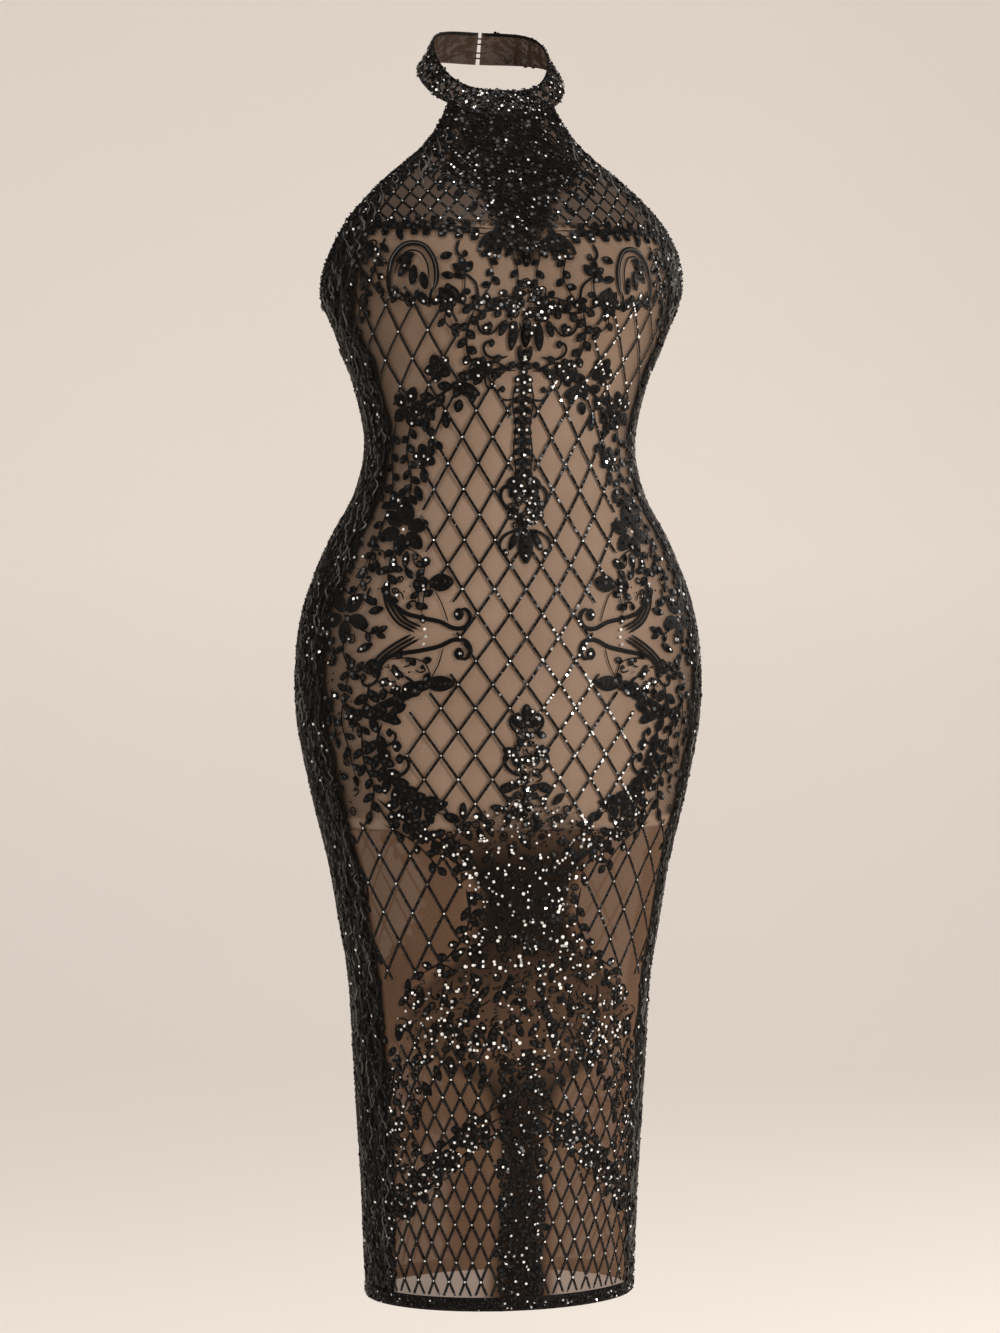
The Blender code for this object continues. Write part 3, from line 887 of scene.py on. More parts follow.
def sewLattice(work, plan):
    top, foot = plan["down"]
    down = np.linspace(top, foot, 900)
    wide, high = lineStops(plan["wide"], down), lineStops(plan["high"], down)
    turns = np.concatenate([[0], ((down[1] - down[0]) / high[:-1]).cumsum()])
    inner, outer = lineStops(plan["inner"], down), lineStops(plan["outer"], down)
    most = int(np.ceil((outer / wide).max() + turns[-1])) + 2
    near, far = glints["across"]
    for k in range(-most, most + 1):
        across = (k + plan["phase"] + turns) * wide       # each line and its mirror image
        kept = (np.abs(across) >= inner) & (np.abs(across) <= outer) & (np.abs(across) <= 60)
        edges = np.flatnonzero(np.diff(np.concatenate([[0], kept.astype(int), [0]])))
        for a, b in zip(edges[::2], edges[1::2]):
            if b - a < 6:
                continue
            path = smoothPath(np.stack([across[a:b], down[a:b]], 1)[:: 6], stitch["latticeStep"])
            for sign in (1, -1):
                line = path * (sign, 1)
                work.mirror = False
                work.stroke(
                    line[::2] if len(line) > 4 else line, stitch["latticeCord"], 0.035, smooth=False,
                    blunt=True
                )
                for x, y in line + work.chance.normal(0, 0.012, line.shape):
                    lit = near < x < far and any(a < y < b for a, b in glints["down"])
                    lit = lit and work.chance.random() < glints["share"]
                    target = work.spangles if lit else work.sequins
                    target.append(
                        (
                            x, y, 0.09 if lit else 0.05, stitch["lattice"] * work.chance.uniform(0.85, 1.2),
                            0.22
                        )
                    )
                work.mirror = True
    rows = np.arange(0, int(turns[-1] * 2) + 1) / 2      # a spangle at each crossing
    for row in rows:
        y = np.interp(row, turns, down)
        cell, least, reach = (lineStops(plan[key], y) for key in ("wide", "inner", "outer"))
        for k in range(-40, 41):
            x = (k + plan["phase"] + (row % 1)) * cell
            if least <= abs(x) <= reach and abs(x) < 60:
                work.spangles.append((x, y, 0.09, 0.085 * work.chance.uniform(0.8, 1.25), 0.30))


def sewYoke(work):
    work.mirror = False
    work.cluster(lambda x, y: np.abs(x) < lineStops(yokeCluster, y), (-8, 8, 5.4, 20.5), 0.62, 0.10, 1.1)
    work.mirror = True
    for x, y, angle in (
        (4.6, 6.4, 20), (5.2, 7.8, 35), (5.6, 9.2, 10), (6.8, 10.4, -20), (7.8, 11.6, 30), (7.0, 12.8, 60),
        (5.2, 13.8, 40), (4.2, 15.2, 50)
    ):
        work.leaf(x, y, angle, 1.3, 0.5, 2, 0.2)
    work.curl(6.4, 11.6, 10, 3.4, 220, 0.26, 0.5, 0.4)
    work.curl(5.0, 8.6, -20, 2.6, -220, 0.26, 0.5, 0.4)
    for k, rise in enumerate((0.0, -0.55)):
        row = [
            (3.0, 18.5 + rise), (6, 18.4 + rise), (9.4, 18.0 + rise), (13, 17.8 + rise), (16.2, 17.6 + rise)
        ]
        work.twig(row, 15, 0.85, 0.52, 42.0 + 14 * k, 0.12)
    for k, angle in enumerate((52, 70, 90, 112)):       # palmette under the yoke
        x = 2.1 + k * 0.25
        work.curl(x, 17.0, angle, 3.7 - 0.2 * k, 36 if k < 2 else -36, 0.22, None)
        work.leaf(x + heading(angle)[0] * 1.5, 17.0 + heading(angle)[1] * 1.6, angle, 1.7, 0.42, 2, 0.1)
    work.twig([(3.3, 18.5), (3.7, 20.6), (3.4, 22.6), (4.4, 24.6), (5.4, 25.4)], 8, 0.95, 0.45)
    work.twig([(1.0, 18.5), (1.3, 20.4), (0.9, 22.0), (1.0, 23.4)], 5, 0.9, 0.42, bright=0.3)
    work.leaf(0.0, 19.8, 90, 1.6, 0.55)


def sewBust(work):
    arch = [
        (14.0, 24.6), (14.0, 22.6), (13.2, 20.7), (11.6, 19.5), (9.9, 19.7), (9.0, 21.2), (8.9, 23.0),
        (9.3, 24.2)
    ]
    work.stroke(arch, 0.52, 0.09)
    # painted highlight: a grey line along the inside of the arch
    work.stroke(arch[1:], 0.13, 0.14, tone=0.9)
    work.stroke([(13.3, 22.4), (12.7, 21.2), (11.5, 20.2), (10.3, 20.4), (9.7, 21.6), (9.6, 23.0)], 0.18)
    work.curl(9.3, 23.8, 70, 2.6, 250, 0.3, 0.62)
    fan = (
        (10.9, 20.5, 20, 1.9), (11.3, 20.9, 48, 2.0), (11.0, 21.6, 75, 1.7), (10.3, 22.3, 100, 1.5),
        (13.0, 23.6, 60, 1.4), (12.0, 24.0, 100, 1.3), (10.8, 24.2, 130, 1.3)
    )
    around = (
        (14.3, 21.4, -30, 1.1), (13.6, 20.2, -50, 1.1), (12.0, 19.1, -80, 1.1), (8.4, 21.0, 200, 1.1),
        (8.4, 22.6, 170, 1.1)
    )
    work.leaves(fan, 0.62, 3, 0.2)
    work.leaves(around, 0.5, 2, 0.15)
    work.curl(12.9, 22.6, 215, 3.2, -230, 0.24, 0.55)
    work.twig([(13.5, 23.9), (12.6, 24.8), (10.4, 24.6), (8.2, 25.4)], 5, 0.8, 0.4)
    for angle, size in ((-125, 1.2), (-80, 1.4), (-35, 1.2), (20, 1.0)):    # small trefoils
        work.leaf(6.2, 22.4, angle, size, 0.55, 2, 0.25)
    work.twig([(7.6, 25.3), (6.4, 24.2), (6.2, 22.5)], 3, 0.8, 0.42, last=False)
    for k, angle in enumerate((38, 58, 80, 104, 128)):       # fan of long petals
        way = heading(angle)
        work.curl(
            2.9 + way[0] * 0.3, 18.0 + way[1] * 0.3, angle, 2.7, 60 if k < 3 else -70, 0.34, 0.38, 0.5
        )
    work.curl(6.4, 19.2, 60, 2.6, 230, 0.3, 0.5)
    work.curl(8.0, 23.6, 160, 2.8, -240, 0.3, 0.5, 0.5)
    work.stroke([(6.2, 22.5), (5.2, 23.4), (4.9, 24.8)], 0.26)
    for x, y, lean in ((16.4, 20.4, 80), (16.9, 22.6, 100), (15.4, 19.4, 30), (17.4, 24.6, 70)):
        work.ring(x, y, 1.5, 0.2, 0.55, lean)
    work.twig([(15.2, 19.0), (15.4, 21.2), (15.0, 23.4)], 6, 0.8, 0.42)
    work.twig([(17.0, 19.4), (17.2, 22.0), (16.8, 24.6), (17.6, 27.0)], 8, 0.8, 0.42)
    # medallion
    work.mirror = False
    work.cluster(
        lambda x, y: np.abs(x) / 3.3 + np.abs(y - 25.4) / 2.4 < 1, (-3.4, 3.4, 23, 27.8), 0.55, 0.45, 1.6
    )
    work.mirror = True
    work.twig(
        [(0.4, 25.4), (2.4, 25.6), (4.6, 25.9), (6.4, 25.3), (7.7, 24.8)], 9, 0.95, 0.5, bright=0.3,
        cord=0.22
    )
    work.twig([(1.0, 24.4), (2.6, 24.5), (4.2, 25.0)], 4, 0.8, 0.42, bright=0.4)
    for angle, size in ((-88, 1.3), (-50, 1.2), (0, 1.1), (60, 1.2), (100, 1.5)):
        work.leaf(7.8, 24.9, angle, size, 0.55, 2, 0.3)
    work.twig([(7.8, 25.4), (7.9, 26.8), (7.1, 27.6)], 3, 0.8, 0.42)
    work.twig([(5.3, 25.9), (5.7, 27.6), (5.5, 29.4), (4.7, 31.0)], 7, 0.95, 0.5, bright=0.3, cord=0.22)
    work.curl(4.9, 26.3, 95, 3.2, 245, 0.26, 0.6, 0.9)
    work.curl(1.6, 29.9, 15, 4.2, -255, 0.26, 0.55, 0.6)
    work.curl(2.6, 27.0, 60, 2.6, -220, 0.2, 0.45)
    for x, y, angle, size, wide in (
        (0.0, 26.6, 90, 2.2, 0.7), (1.1, 26.7, 84, 2.4, 0.62), (0.0, 29.2, 90, 1.9, 0.55),
        (0.55, 28.9, 100, 1.4, 0.4), (2.0, 26.6, 70, 1.4, 0.5)
    ):
        work.leaf(x, y, angle, size, wide, 3, 0.3)
    work.twig([(4.6, 30.9), (3.0, 30.4), (1.4, 31.0), (0.4, 30.4)], 6, 0.8, 0.45, bright=0.3, cord=0.22)


def sewWaist(work):
    work.twig(
        [(0.8, 31.2), (3.2, 31.2), (6.0, 32.4), (8.6, 33.8), (10.6, 34.6)], 9, 1.3, 0.62, 38.0, 0.2,
        cord=0.24
    )
    work.leaf(3.0, 31.2, 12, 2.4, 0.85, 4, 0.2)
    work.leaf(6.8, 32.4, 158, 2.6, 0.85, 4, 0.2)
    work.flower(8.2, 31.0, 2.0, 5, 10.0, 0.3, 0.7)
    work.flower(11.2, 34.5, 2.9, 5, 35.0, 0.2, 0.85)
    beside = (
        (8.4, 34.2, 60, 1.6), (7.4, 34.8, 95, 1.6), (9.2, 35.4, 80, 1.3), (5.0, 32.8, 100, 1.3),
        (6.0, 33.9, 80, 1.1)
    )
    work.leaves(beside, 0.62, 3, 0.25)
    work.twig([(9.0, 34.6), (9.5, 36.4), (8.4, 37.8)], 4, 0.95, 0.5)
    work.twig(
        [(10.8, 35.6), (11.4, 38.6), (10.9, 41.6), (11.4, 44.6)], 10, 0.95, 0.48, bright=0.2, cord=0.2
    )
    work.twig(
        [(12.6, 35.4), (13.2, 38.8), (13.0, 42.2), (14.0, 46.0), (15.6, 49.6)], 13, 0.95, 0.48, cord=0.2
    )
    work.flower(9.5, 39.2, 1.9, 5, 0.0, 0.5, 0.65)
    work.leaf(9.6, 40.3, 95, 1.3, 0.6)
    work.leaf(10.4, 42.0, 110, 1.4, 0.6)
    work.flower(11.6, 46.2, 3.7, 6, 15.0, 0.15, 0.95)
    work.flower(12.2, 43.4, 1.9, 5, 30.0, 0.2, 0.6)
    work.twig([(12.0, 47.2), (12.9, 49.0), (13.2, 51.0)], 5, 1.0, 0.5, cord=0.2)
    work.twig([(12.4, 47.6), (10.4, 48.4), (9.6, 49.8), (10.2, 52.4), (9.9, 54.2)], 7, 0.8, 0.42)
    work.twig([(14.6, 47.0), (15.4, 50.0), (16.8, 52.4)], 6, 0.9, 0.45)
    # pendant down the middle
    for y in np.arange(31.3, 41.6, 0.98):
        work.mirror = False
        work.ball(0.0, y, 0.62, 0.5)
        work.mirror = True
        work.leaf(0.12, y + 0.35, 38, 0.85, 0.42, 1, 0.35)
    work.stroke([(0.6, 31.8), (1.0, 34.0), (0.7, 36.4), (0.9, 38.8), (0.6, 41.4)], 0.16)
    work.curl(0.7, 33.8, 15, 3.0, -245, 0.2, 0.46, 0.5)
    work.curl(3.6, 31.4, 80, 2.4, 200, 0.2, 0.4, 0.4)
    work.leaf(0.4, 41.2, 40, 1.5, 0.7, 3, 0.5)
    work.leaf(0.2, 42.6, 20, 1.2, 0.5, 2, 0.5)
    work.curl(0.4, 44.9, -25, 5.2, -265, 0.36, 0.8, 0.9)
    work.curl(0.5, 44.2, -60, 3.2, -230, 0.26, 0.6, 0.8)
    work.mirror = False
    work.cluster(
        lambda x, y: np.abs(x) < 1.6 - np.abs(y - 44.6) * 0.55, (-1.6, 1.6, 42.0, 46.6), 0.5, 0.5, 1.6
    )
    work.leaf(0.0, 46.2, 90, 2.9, 1.0, 5, 0.5)
    work.mirror = True
    work.curl(0.5, 46.2, 15, 3.9, 175, 0.30, 0.6, 0.8)
    work.leaf(0.6, 46.3, 62, 1.9, 0.5, 3, 0.3)


def sewHips(work):
    upper = [
        (13.1, 51.4), (12.9, 52.8), (11.6, 54.0), (10.0, 54.5), (8.2, 54.9), (6.9, 55.5), (5.8, 55.4),
        (5.3, 54.5), (5.8, 53.7), (6.5, 54.0)
    ]
    lower = [(x, 112.1 - y) for x, y in upper[2:]]
    work.stroke(upper, 0.42, 0.09)
    work.ball(6.35, 54.2, 0.85, 1.0)
    work.stroke([(14.2, 60.6), (14.0, 59.2), (12.8, 58.1)] + lower[1:], 0.42, 0.09)
    work.ball(6.35, 57.9, 0.85, 1.0)
    for shift in (0.0, 0.42, 0.84):            # the strokes meet in a notch
        work.stroke(
            [
                (13.6 - shift * 0.4, 51.9 + shift * 0.3), (13.3 - shift, 53.4),
                (12.3 - shift, 54.9 - shift * 0.3), (10.6 - shift * 0.8, 55.9 - shift * 0.6)
            ],
            0.26
        )
        work.stroke(
            [
                (14.9 - shift, 60.0), (14.5 - shift, 58.6 + shift * 0.2),
                (13.0 - shift, 57.3 + shift * 0.4), (10.9 - shift * 0.9, 56.1 + shift * 0.5)
            ],
            0.26
        )
    for x, y in ((9.6, 55.6), (9.5, 56.3), (9.7, 57.0), (13.2, 51.2)):
        work.sew(x, y, 0.15, 0.15, True)
    work.twig([(9.9, 54.0), (9.6, 52.2), (9.2, 51.0)], 3, 0.9, 0.45, last=False)
    work.leaf(9.2, 51.3, 184, 2.1, 1.15, 5, 0.3)
    work.ball(10.2, 51.4, 0.9, 0.2)
    work.curl(9.8, 53.8, -60, 2.2, 200, 0.2, 0.5, 0.4)
    work.stroke([(8.6, 52.0), (8.0, 53.2), (7.4, 54.9)], 0.12)
    outer = (
        (15.8, 52.4, 150, 1.6), (15.1, 54.0, 195, 1.4), (16.3, 57.7, 205, 1.6), (15.2, 58.9, 165, 1.4),
        (13.0, 50.3, 250, 1.5), (11.5, 49.8, 262, 1.4), (14.0, 50.5, 292, 1.6)
    )
    work.leaves(outer, 0.5, 3, 0.25)
    work.curl(14.9, 51.6, 60, 2.6, 230, 0.28, 0.5, 0.3)
    work.curl(15.6, 59.6, 250, 2.6, -230, 0.28, 0.5, 0.3)
    work.leaf(9.6, 60.7, 180, 2.5, 1.0, 5, 0.35)
    work.leaf(11.0, 60.9, 178, 1.7, 0.7, 3, 0.35)
    work.curl(11.6, 60.0, 150, 3.2, -220, 0.30, 0.7, 0.6)
    work.curl(13.9, 59.8, 60, 3.2, -230, 0.28, 0.6, 0.4)
    work.twig([(12.8, 58.4), (11.0, 58.3), (9.6, 58.8), (9.0, 60.2)], 4, 0.8, 0.45, bright=0.3)
    work.stroke([(7.9, 57.4), (8.3, 58.8), (9.0, 60.2)], 0.12)
    work.twig([(14.2, 60.4), (13.0, 61.6), (11.2, 61.6)], 5, 1.1, 0.55, bright=0.4)
    work.flower(17.6, 54.3, 3.8, 5, 15.0, 0.25, 0.95)
    for path in (
        [(17.4, 55.2), (17.8, 57.6), (17.2, 59.4), (17.6, 61.6)],
        [(16.0, 55.6), (14.8, 56.0), (14.2, 55.8)],
        [(17.6, 59.2), (16.4, 59.6), (15.4, 59.2)],
        [(18.6, 59.0), (19.4, 57.8), (19.6, 56.6)],
        [(17.6, 61.8), (18.0, 64.2), (17.3, 66.6), (16.6, 69.4)],
        [(17.9, 64.0), (16.6, 64.2), (15.8, 64.8)],
        [(18.6, 50.6), (17.6, 52.0), (16.4, 52.4)],
        [(19.2, 61.0), (19.0, 63.4), (18.6, 65.8)],
    ):
        work.twig(path, len(path) + 1, 0.98, 0.40, 50.0, 0.12, cord=0.16)

    def besideBand(x, y):
        inner = lineStops(((46, 14.2), (52, 15.4), (58, 17.0), (74, 16.0)), y)
        return (np.abs(x) < lineStops(bandStart, y) + 0.6) & (np.abs(x) > inner)

    def overScroll(x, y):
        return (np.abs(x - 11.6) < 2.6) & (y > 48.6) & (y < 53.4 - np.abs(x - 12.4) * 0.5)

    def underScroll(x, y):
        return np.hypot(x - 12.2, (y - 60.2) * 1.5) < 2.2

    work.cluster(besideBand, (14, 21, 47, 73), 1.35, 0.06, 0.12, 0.34, 1.0)
    work.cluster(overScroll, (9, 15, 48, 54), 1.15, 0.2, 0.2, 0.4, 1.1)
    work.cluster(underScroll, (9.5, 14.8, 58, 62), 1.05, 0.35, 0.3, 0.4, 1.1)
    # the chain that hangs at each side of the belly
    work.leaf(15.6, 63.5, 201, 5.8, 0.55, 6, 0.3)
    work.twig(
        [(15.0, 60.6), (15.2, 62.0), (15.7, 63.6), (14.2, 64.0), (12.8, 63.4)], 8, 1.4, 0.62, cord=0.28
    )
    work.curl(14.0, 63.9, 150, 2.6, 230, 0.28, 0.6, 0.4)
    work.twig(
        [(13.7, 64.4), (14.2, 66.2), (13.6, 68.4), (12.2, 70.6), (10.2, 72.0), (7.8, 73.0)], 17, 1.55, 0.62,
        44.0, 0.3, cord=0.28
    )
    work.curl(13.9, 66.6, 185, 3.0, 235, 0.28, 0.6, 0.4)
    work.curl(13.0, 69.6, 190, 4.0, 235, 0.34, 0.7, 0.5)
    work.ball(12.2, 66.6, 0.8, 0.6)
    work.twig([(15.8, 65.4), (15.6, 68.0), (14.6, 70.6), (15.0, 72.8)], 9, 1.15, 0.5, cord=0.2)
    work.twig([(12.0, 71.0), (11.4, 73.0), (9.4, 74.6), (7.2, 75.6)], 8, 1.05, 0.55, bright=0.4, cord=0.2)
    # crown down the middle
    work.mirror = False
    work.cluster(lambda x, y: np.abs(x) < 1.0, (-1.0, 1.0, 63.6, 73.4), 0.52, 0.4, 1.4)
    work.leaf(0.0, 64.3, -90, 1.5, 0.7, 3, 0.3)
    work.mirror = True
    work.curl(0.5, 65.5, -30, 3.1, -235, 0.30, 0.7, 0.7)
    work.leaf(0.5, 64.9, -55, 1.4, 0.6)
    work.curl(0.6, 69.4, -25, 4.0, -240, 0.34, 0.8, 0.7)
    work.leaf(0.8, 67.4, -20, 1.4, 0.6, 2, 0.4)
    work.leaf(1.0, 70.2, 20, 1.5, 0.65, 3, 0.4)
    work.curl(0.6, 71.4, 10, 2.8, -220, 0.26, 0.6, 0.5)


def sewSkirt(work):
    work.mirror = False
    work.cluster(
        lambda x, y: np.abs(x) < lineStops(thighCluster, y), (-13.2, 13.2, 72, 96.5), 1.02, 0.42, 0.75,
        0.45, 1.3
    )
    work.cluster(
        lambda x, y: np.abs(x) < lineStops(thighCluster, y), (-2.1, 2.1, 96.4, 118.6), 0.6, 0.2, 1.1
    )
    for x, y in work.chance.uniform((-12, 72), (12, 96), (glints["thighs"], 2)):
        if abs(x) < lineStops(thighCluster, y) - 0.4:
            work.sew(x, y, work.chance.uniform(0.12, 0.19), 0.17, True, 0.14)
    work.mirror = True
    work.twig([(14.2, 71.6), (11.6, 73.6), (8.8, 75.4), (6.2, 76.6)], 10, 1.15, 0.6, 45.0, 0.4, cord=0.24)
    work.twig([(13.6, 74.0), (10.6, 75.6), (8.2, 78.0)], 6, 0.9, 0.5, bright=0.4)
    work.curl(6.8, 77.0, 120, 3.2, 230, 0.28, 0.6, 0.6)
    work.twig(
        [(5.6, 80.0), (5.2, 82.6), (6.0, 84.8), (7.4, 86.6), (9.6, 88.0)], 10, 1.0, 0.5, 50.0, 0.5, cord=0.2
    )
    for x, y, turn in (
        (3.0, 77.0, 240), (3.4, 80.4, -240), (2.6, 84.0, 240), (4.2, 87.6, -240), (7.6, 89.4, 240),
        (10.6, 91.6, -240)
    ):
        work.curl(x, y, 20 + turn / 4, 3.2, turn, 0.26, 0.6, 0.6)
    for x, y, size in (
        (1.5, 88.6, 1.6), (4.6, 90.4, 1.8), (7.0, 92.0, 1.8), (9.8, 89.6, 1.6), (12.0, 93.0, 1.5),
        (2.8, 93.0, 1.8), (5.8, 94.6, 1.4)
    ):
        work.leaf(x, y, 82, size, 0.62, 3, 0.3)

    def alongSwag(x, y):
        return (x > 3) & (x < 13) & (np.abs(y - 101.6 - (x - 2) * 0.9) < 1.9 - x * 0.05)

    def overSwag(x, y):
        return (x > 9.6 + np.abs(y - 101) * 0.12) & (x < 13.4)

    work.cluster(alongSwag, (3, 13, 99, 114), 0.95, 0.4, 0.6, 0.4, 1.0)
    work.cluster(overSwag, (9.4, 13.4, 96, 108), 0.95, 0.3, 0.6, 0.4, 1.0)
    for x, y, angle in (
        (3.4, 97.6, 60), (5.0, 96.4, 75), (6.8, 96.0, 90), (8.4, 96.8, 110), (9.6, 98.4, 125),
        (10.2, 100.6, 100)
    ):
        work.leaf(x, y, angle, 1.4, 0.5, 2, 0.4)
    for shift, length in ((0.0, 1.25), (1.3, 1.0), (-1.2, 0.95)):      # swag over each knee
        work.twig(
            [
                (2.0, 101.6 + shift), (4.8, 103.4 + shift), (7.4, 105.6 + shift), (10.2, 108.6 + shift),
                (12.4, 111.0 + shift)
            ],
            12, length, 0.58, 45.0, 0.4, cord=0.22
        )
    for x, y in ((5.2, 103.4), (7.6, 105.8), (9.8, 108.2), (11.4, 110.4)):
        work.flower(x, y, 1.9, 5, x * 40, 0.4, 0.6)
    for y in np.arange(97.2, 118.0, 3.4):
        work.curl(0.4, y, 10, 3.1, -240, 0.24, 0.5, 0.3)
        work.leaf(1.4, y + 1.2, 70, 1.5, 0.5, 3, 0.2)
    work.twig([(12.0, 95.6), (12.8, 98.8), (12.4, 102.4), (12.9, 106.0)], 10, 0.85, 0.45)
    work.twig([(12.9, 112.0), (13.3, 114.6), (13.0, 118.4)], 8, 0.85, 0.45)


sideWork = {
    "strands": 11,
    "cord": (0.26, 0.09),      # width, height
    "wave": 0.38,
    "sway": 0.30,
    "step": 0.3,
    "least": 0.8,              # no work where the side is narrower
    "squiggle": (0.14, 0.15),  # a cord painted grey as sheen: its width and height
    "squiggleStep": 0.62,
    "sequins": 10,             # on each centimetre of length
    "bright": 0.03,
}


def sewSides(work, cloth, top, foot):
    # strands that run down the side, leaves on them, squiggles painted grey as sheen, and loose sequins
    least = sideWork["least"]

    def edges(down):
        return np.array([bandFrom(cloth, down), cloth.halfAt(down)])

    work.mirror = False
    for side in (1, -1):
        for k in range(sideWork["strands"]):
            share = (k + 0.5) / sideWork["strands"]
            phase, rate = work.chance.uniform(0, 6.28), work.chance.uniform(1.0, 1.6)
            down = np.arange(top, foot, sideWork["step"])
            start, end = edges(down)
            wave = np.sin(down * rate + phase) * sideWork["wave"]
            wave += np.sin(down * 0.37 + phase * 2) * sideWork["sway"]
            across = np.minimum(start + (end - start) * share + wave, end - 0.12)
            roomy = end - start > least
            if roomy.sum() > 12:
                strand = np.stack([across * side, down], 1)[roomy]
                # painted sheen: each strand is a little greyer, at random
                tone = work.chance.uniform(0, 0.22)
                work.stroke(strand, *sideWork["cord"], smooth=False, blunt=True, tone=tone)
            for y in np.arange(top + share, foot - 1, work.chance.uniform(1.1, 1.5)):
                start, end = edges(y)
                x = start + (end - start) * share + math.sin(y * rate + phase) * sideWork["wave"]
                if end - start > least and x < end - 0.3:
                    angle = 90 + side * work.chance.choice([-1, 1]) * work.chance.uniform(20, 60)
                    work.leaf(x * side, y, angle, work.chance.uniform(0.7, 1.2), 0.4, 1, 0.05)
        for y in np.arange(top + 1, foot - 3, sideWork["squiggleStep"]):
            start, end = edges(y)
            if end - start > least * 1.5:
                x = start + (end - start) * work.chance.uniform(0.08, 0.92)
                t = np.linspace(0, 1, 9)
                wave = np.sin(t * work.chance.uniform(5, 9)) * work.chance.uniform(0.12, 0.32)
                across = np.minimum(x + wave, end - 0.15) * side
                path = np.stack([across, y + t * work.chance.uniform(1.2, 2.8)], 1)
                # painted sheen: the squiggles are grey
                work.stroke(path, *sideWork["squiggle"], tone=work.chance.uniform(0.4, 1.0))
        down = work.chance.uniform(top, foot, int((foot - top) * sideWork["sequins"]))
        start, end = edges(down)
        across = start + (end - start) * work.chance.random(len(down))
        for x, y, room in zip(across, down, end - start):
            if room > least:
                radius, bright = work.chance.uniform(0.10, 0.16), work.chance.random() < sideWork["bright"]
                work.sew(x * side, y, radius, 0.12, bright, 0.45)
    work.mirror = True


needle = {
    "front": Needlework(11), "back": Needlework(12), "frontGrid": Needlework(13), "backGrid": Needlework(14)
}
for part in (sewYoke, sewBust, sewWaist, sewHips, sewSkirt):
    part(needle["front"])
for part in (sewWaist, sewHips, sewSkirt):
    part(needle["back"])
sewSides(needle["front"], cloths["front"], 6.5, 118.9)
sewSides(needle["back"], cloths["back"], 24.9, 118.9)
for plan in lattices.values():
    sewLattice(needle["frontGrid"], plan)
backBody = dict(
    lattices["body"], down=(24.9, 89.0), inner=((24, 0.0), (72, 0.0), (76, 6.5), (84, 5.6), (89, 8.0)),
    outer=((24, 19.5), *lattices["body"]["outer"][2:])
)
sewLattice(needle["backGrid"], backBody)
sewLattice(needle["backGrid"], lattices["skirt"])
trim = {
    # in from the edge, lift
    "armhole": (
        (0.66, 0.05), (0.52, 0.11), (0.30, 0.13), (0.08, 0.11), (0.0, 0.02), (0.10, -0.05), (0.55, -0.05)
    ),
    "hem": (
        (1.33, 0.03), (1.15, 0.09), (0.60, 0.10), (0.10, 0.09), (0.0, 0.01), (0.12, -0.07), (1.25, -0.07)
    ),
    "backTop": (
        (0.80, 0.04), (0.62, 0.10), (0.32, 0.12), (0.06, 0.09), (0.0, 0.0), (0.10, -0.06), (0.7, -0.06)
    ),
    "collar": (
        (0.36, 0.03), (0.28, 0.09), (0.14, 0.11), (0.02, 0.08), (0.0, 0.0), (0.06, -0.05), (0.30, -0.05)
    ),
}


def edgeStrip(name, rails, replaced):
    # rails are (cloth, across, down, lift) lines, side by side
    points = np.stack([cloth.at(across, down, lift)[0] for cloth, across, down, lift in rails], 1)
    faces = gridFaces(len(points), points.shape[1])
    strip = newPiece(name, points.reshape(-1, 3), faces, finishes["binding"], True)
    if replaced:
        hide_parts(*replaced)
    return strip


beads = {                      # how many, and how far they spread to each side
    "collar": (330, 0.16),
    "armhole": (330, 0.3),
    "hem": (700, 0.55),
    "backTop": (420, 0.3),
}


def beadEdge(work, across, down, count, spread):
    # sequins strewn along a line of the cloth
    spots = work.chance.uniform(0, len(across) - 1, count)
    x = np.interp(spots, np.arange(len(across)), across) + work.chance.uniform(-spread, spread, count)
    y = np.interp(spots, np.arange(len(down)), down) + work.chance.uniform(-spread, spread, count)
    for a, b in zip(x, y):
        work.sew(
            a, b, work.chance.uniform(0.08, 0.13), 0.15, work.chance.random() < sideWork["bright"], 0.5
        )


front, back, collar = cloths["front"], cloths["back"], cloths["collar"]
armDown = np.linspace(front.down[0] + 0.05, 24.0, 150)
for side, word in ((1, "left"), (-1, "right")):
    ripple = 1 + 0.25 * np.sin(np.arange(len(armDown)) * 1.7)
    rails = [
        (front, side * (front.halfAt(armDown) - inset), armDown, lift * ripple)
        for inset, lift in trim["armhole"][::side]
    ]
    edgeStrip("armhole_edge_" + word, rails, ["armhole_binding_" + word])
hemFoot = -figure["hemZ"] * 100
strips = []
for cloth, order in ((front, 1), (back, -1)):
    across = np.linspace(-1, 1, 140) * order * cloth.halfAt(hemFoot)
    strips.append(
        [(cloth, across, hemFoot - inset + 0 * across, lift + 0 * across) for inset, lift in trim["hem"]]
    )
points = np.concatenate([np.stack([c.at(a, d, l)[0] for c, a, d, l in rails], 1) for rails in strips])
points = np.concatenate([points, points[:1]])
hemEdge = newPiece(
    "hem_edge", points.reshape(-1, 3), gridFaces(len(points), points.shape[1])[:, ::-1],
    finishes["binding"], True
)
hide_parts("hem_band")
wide = np.linspace(-1, 1, 140) * (back.halfAt(24.2) - 0.05)
edgeStrip(
        "back_top_edge",
        [(back, wide, 23.82 + inset + 0 * wide, lift + 0 * wide) for inset, lift in trim["backTop"]],
        ["back_top_binding"]
    )

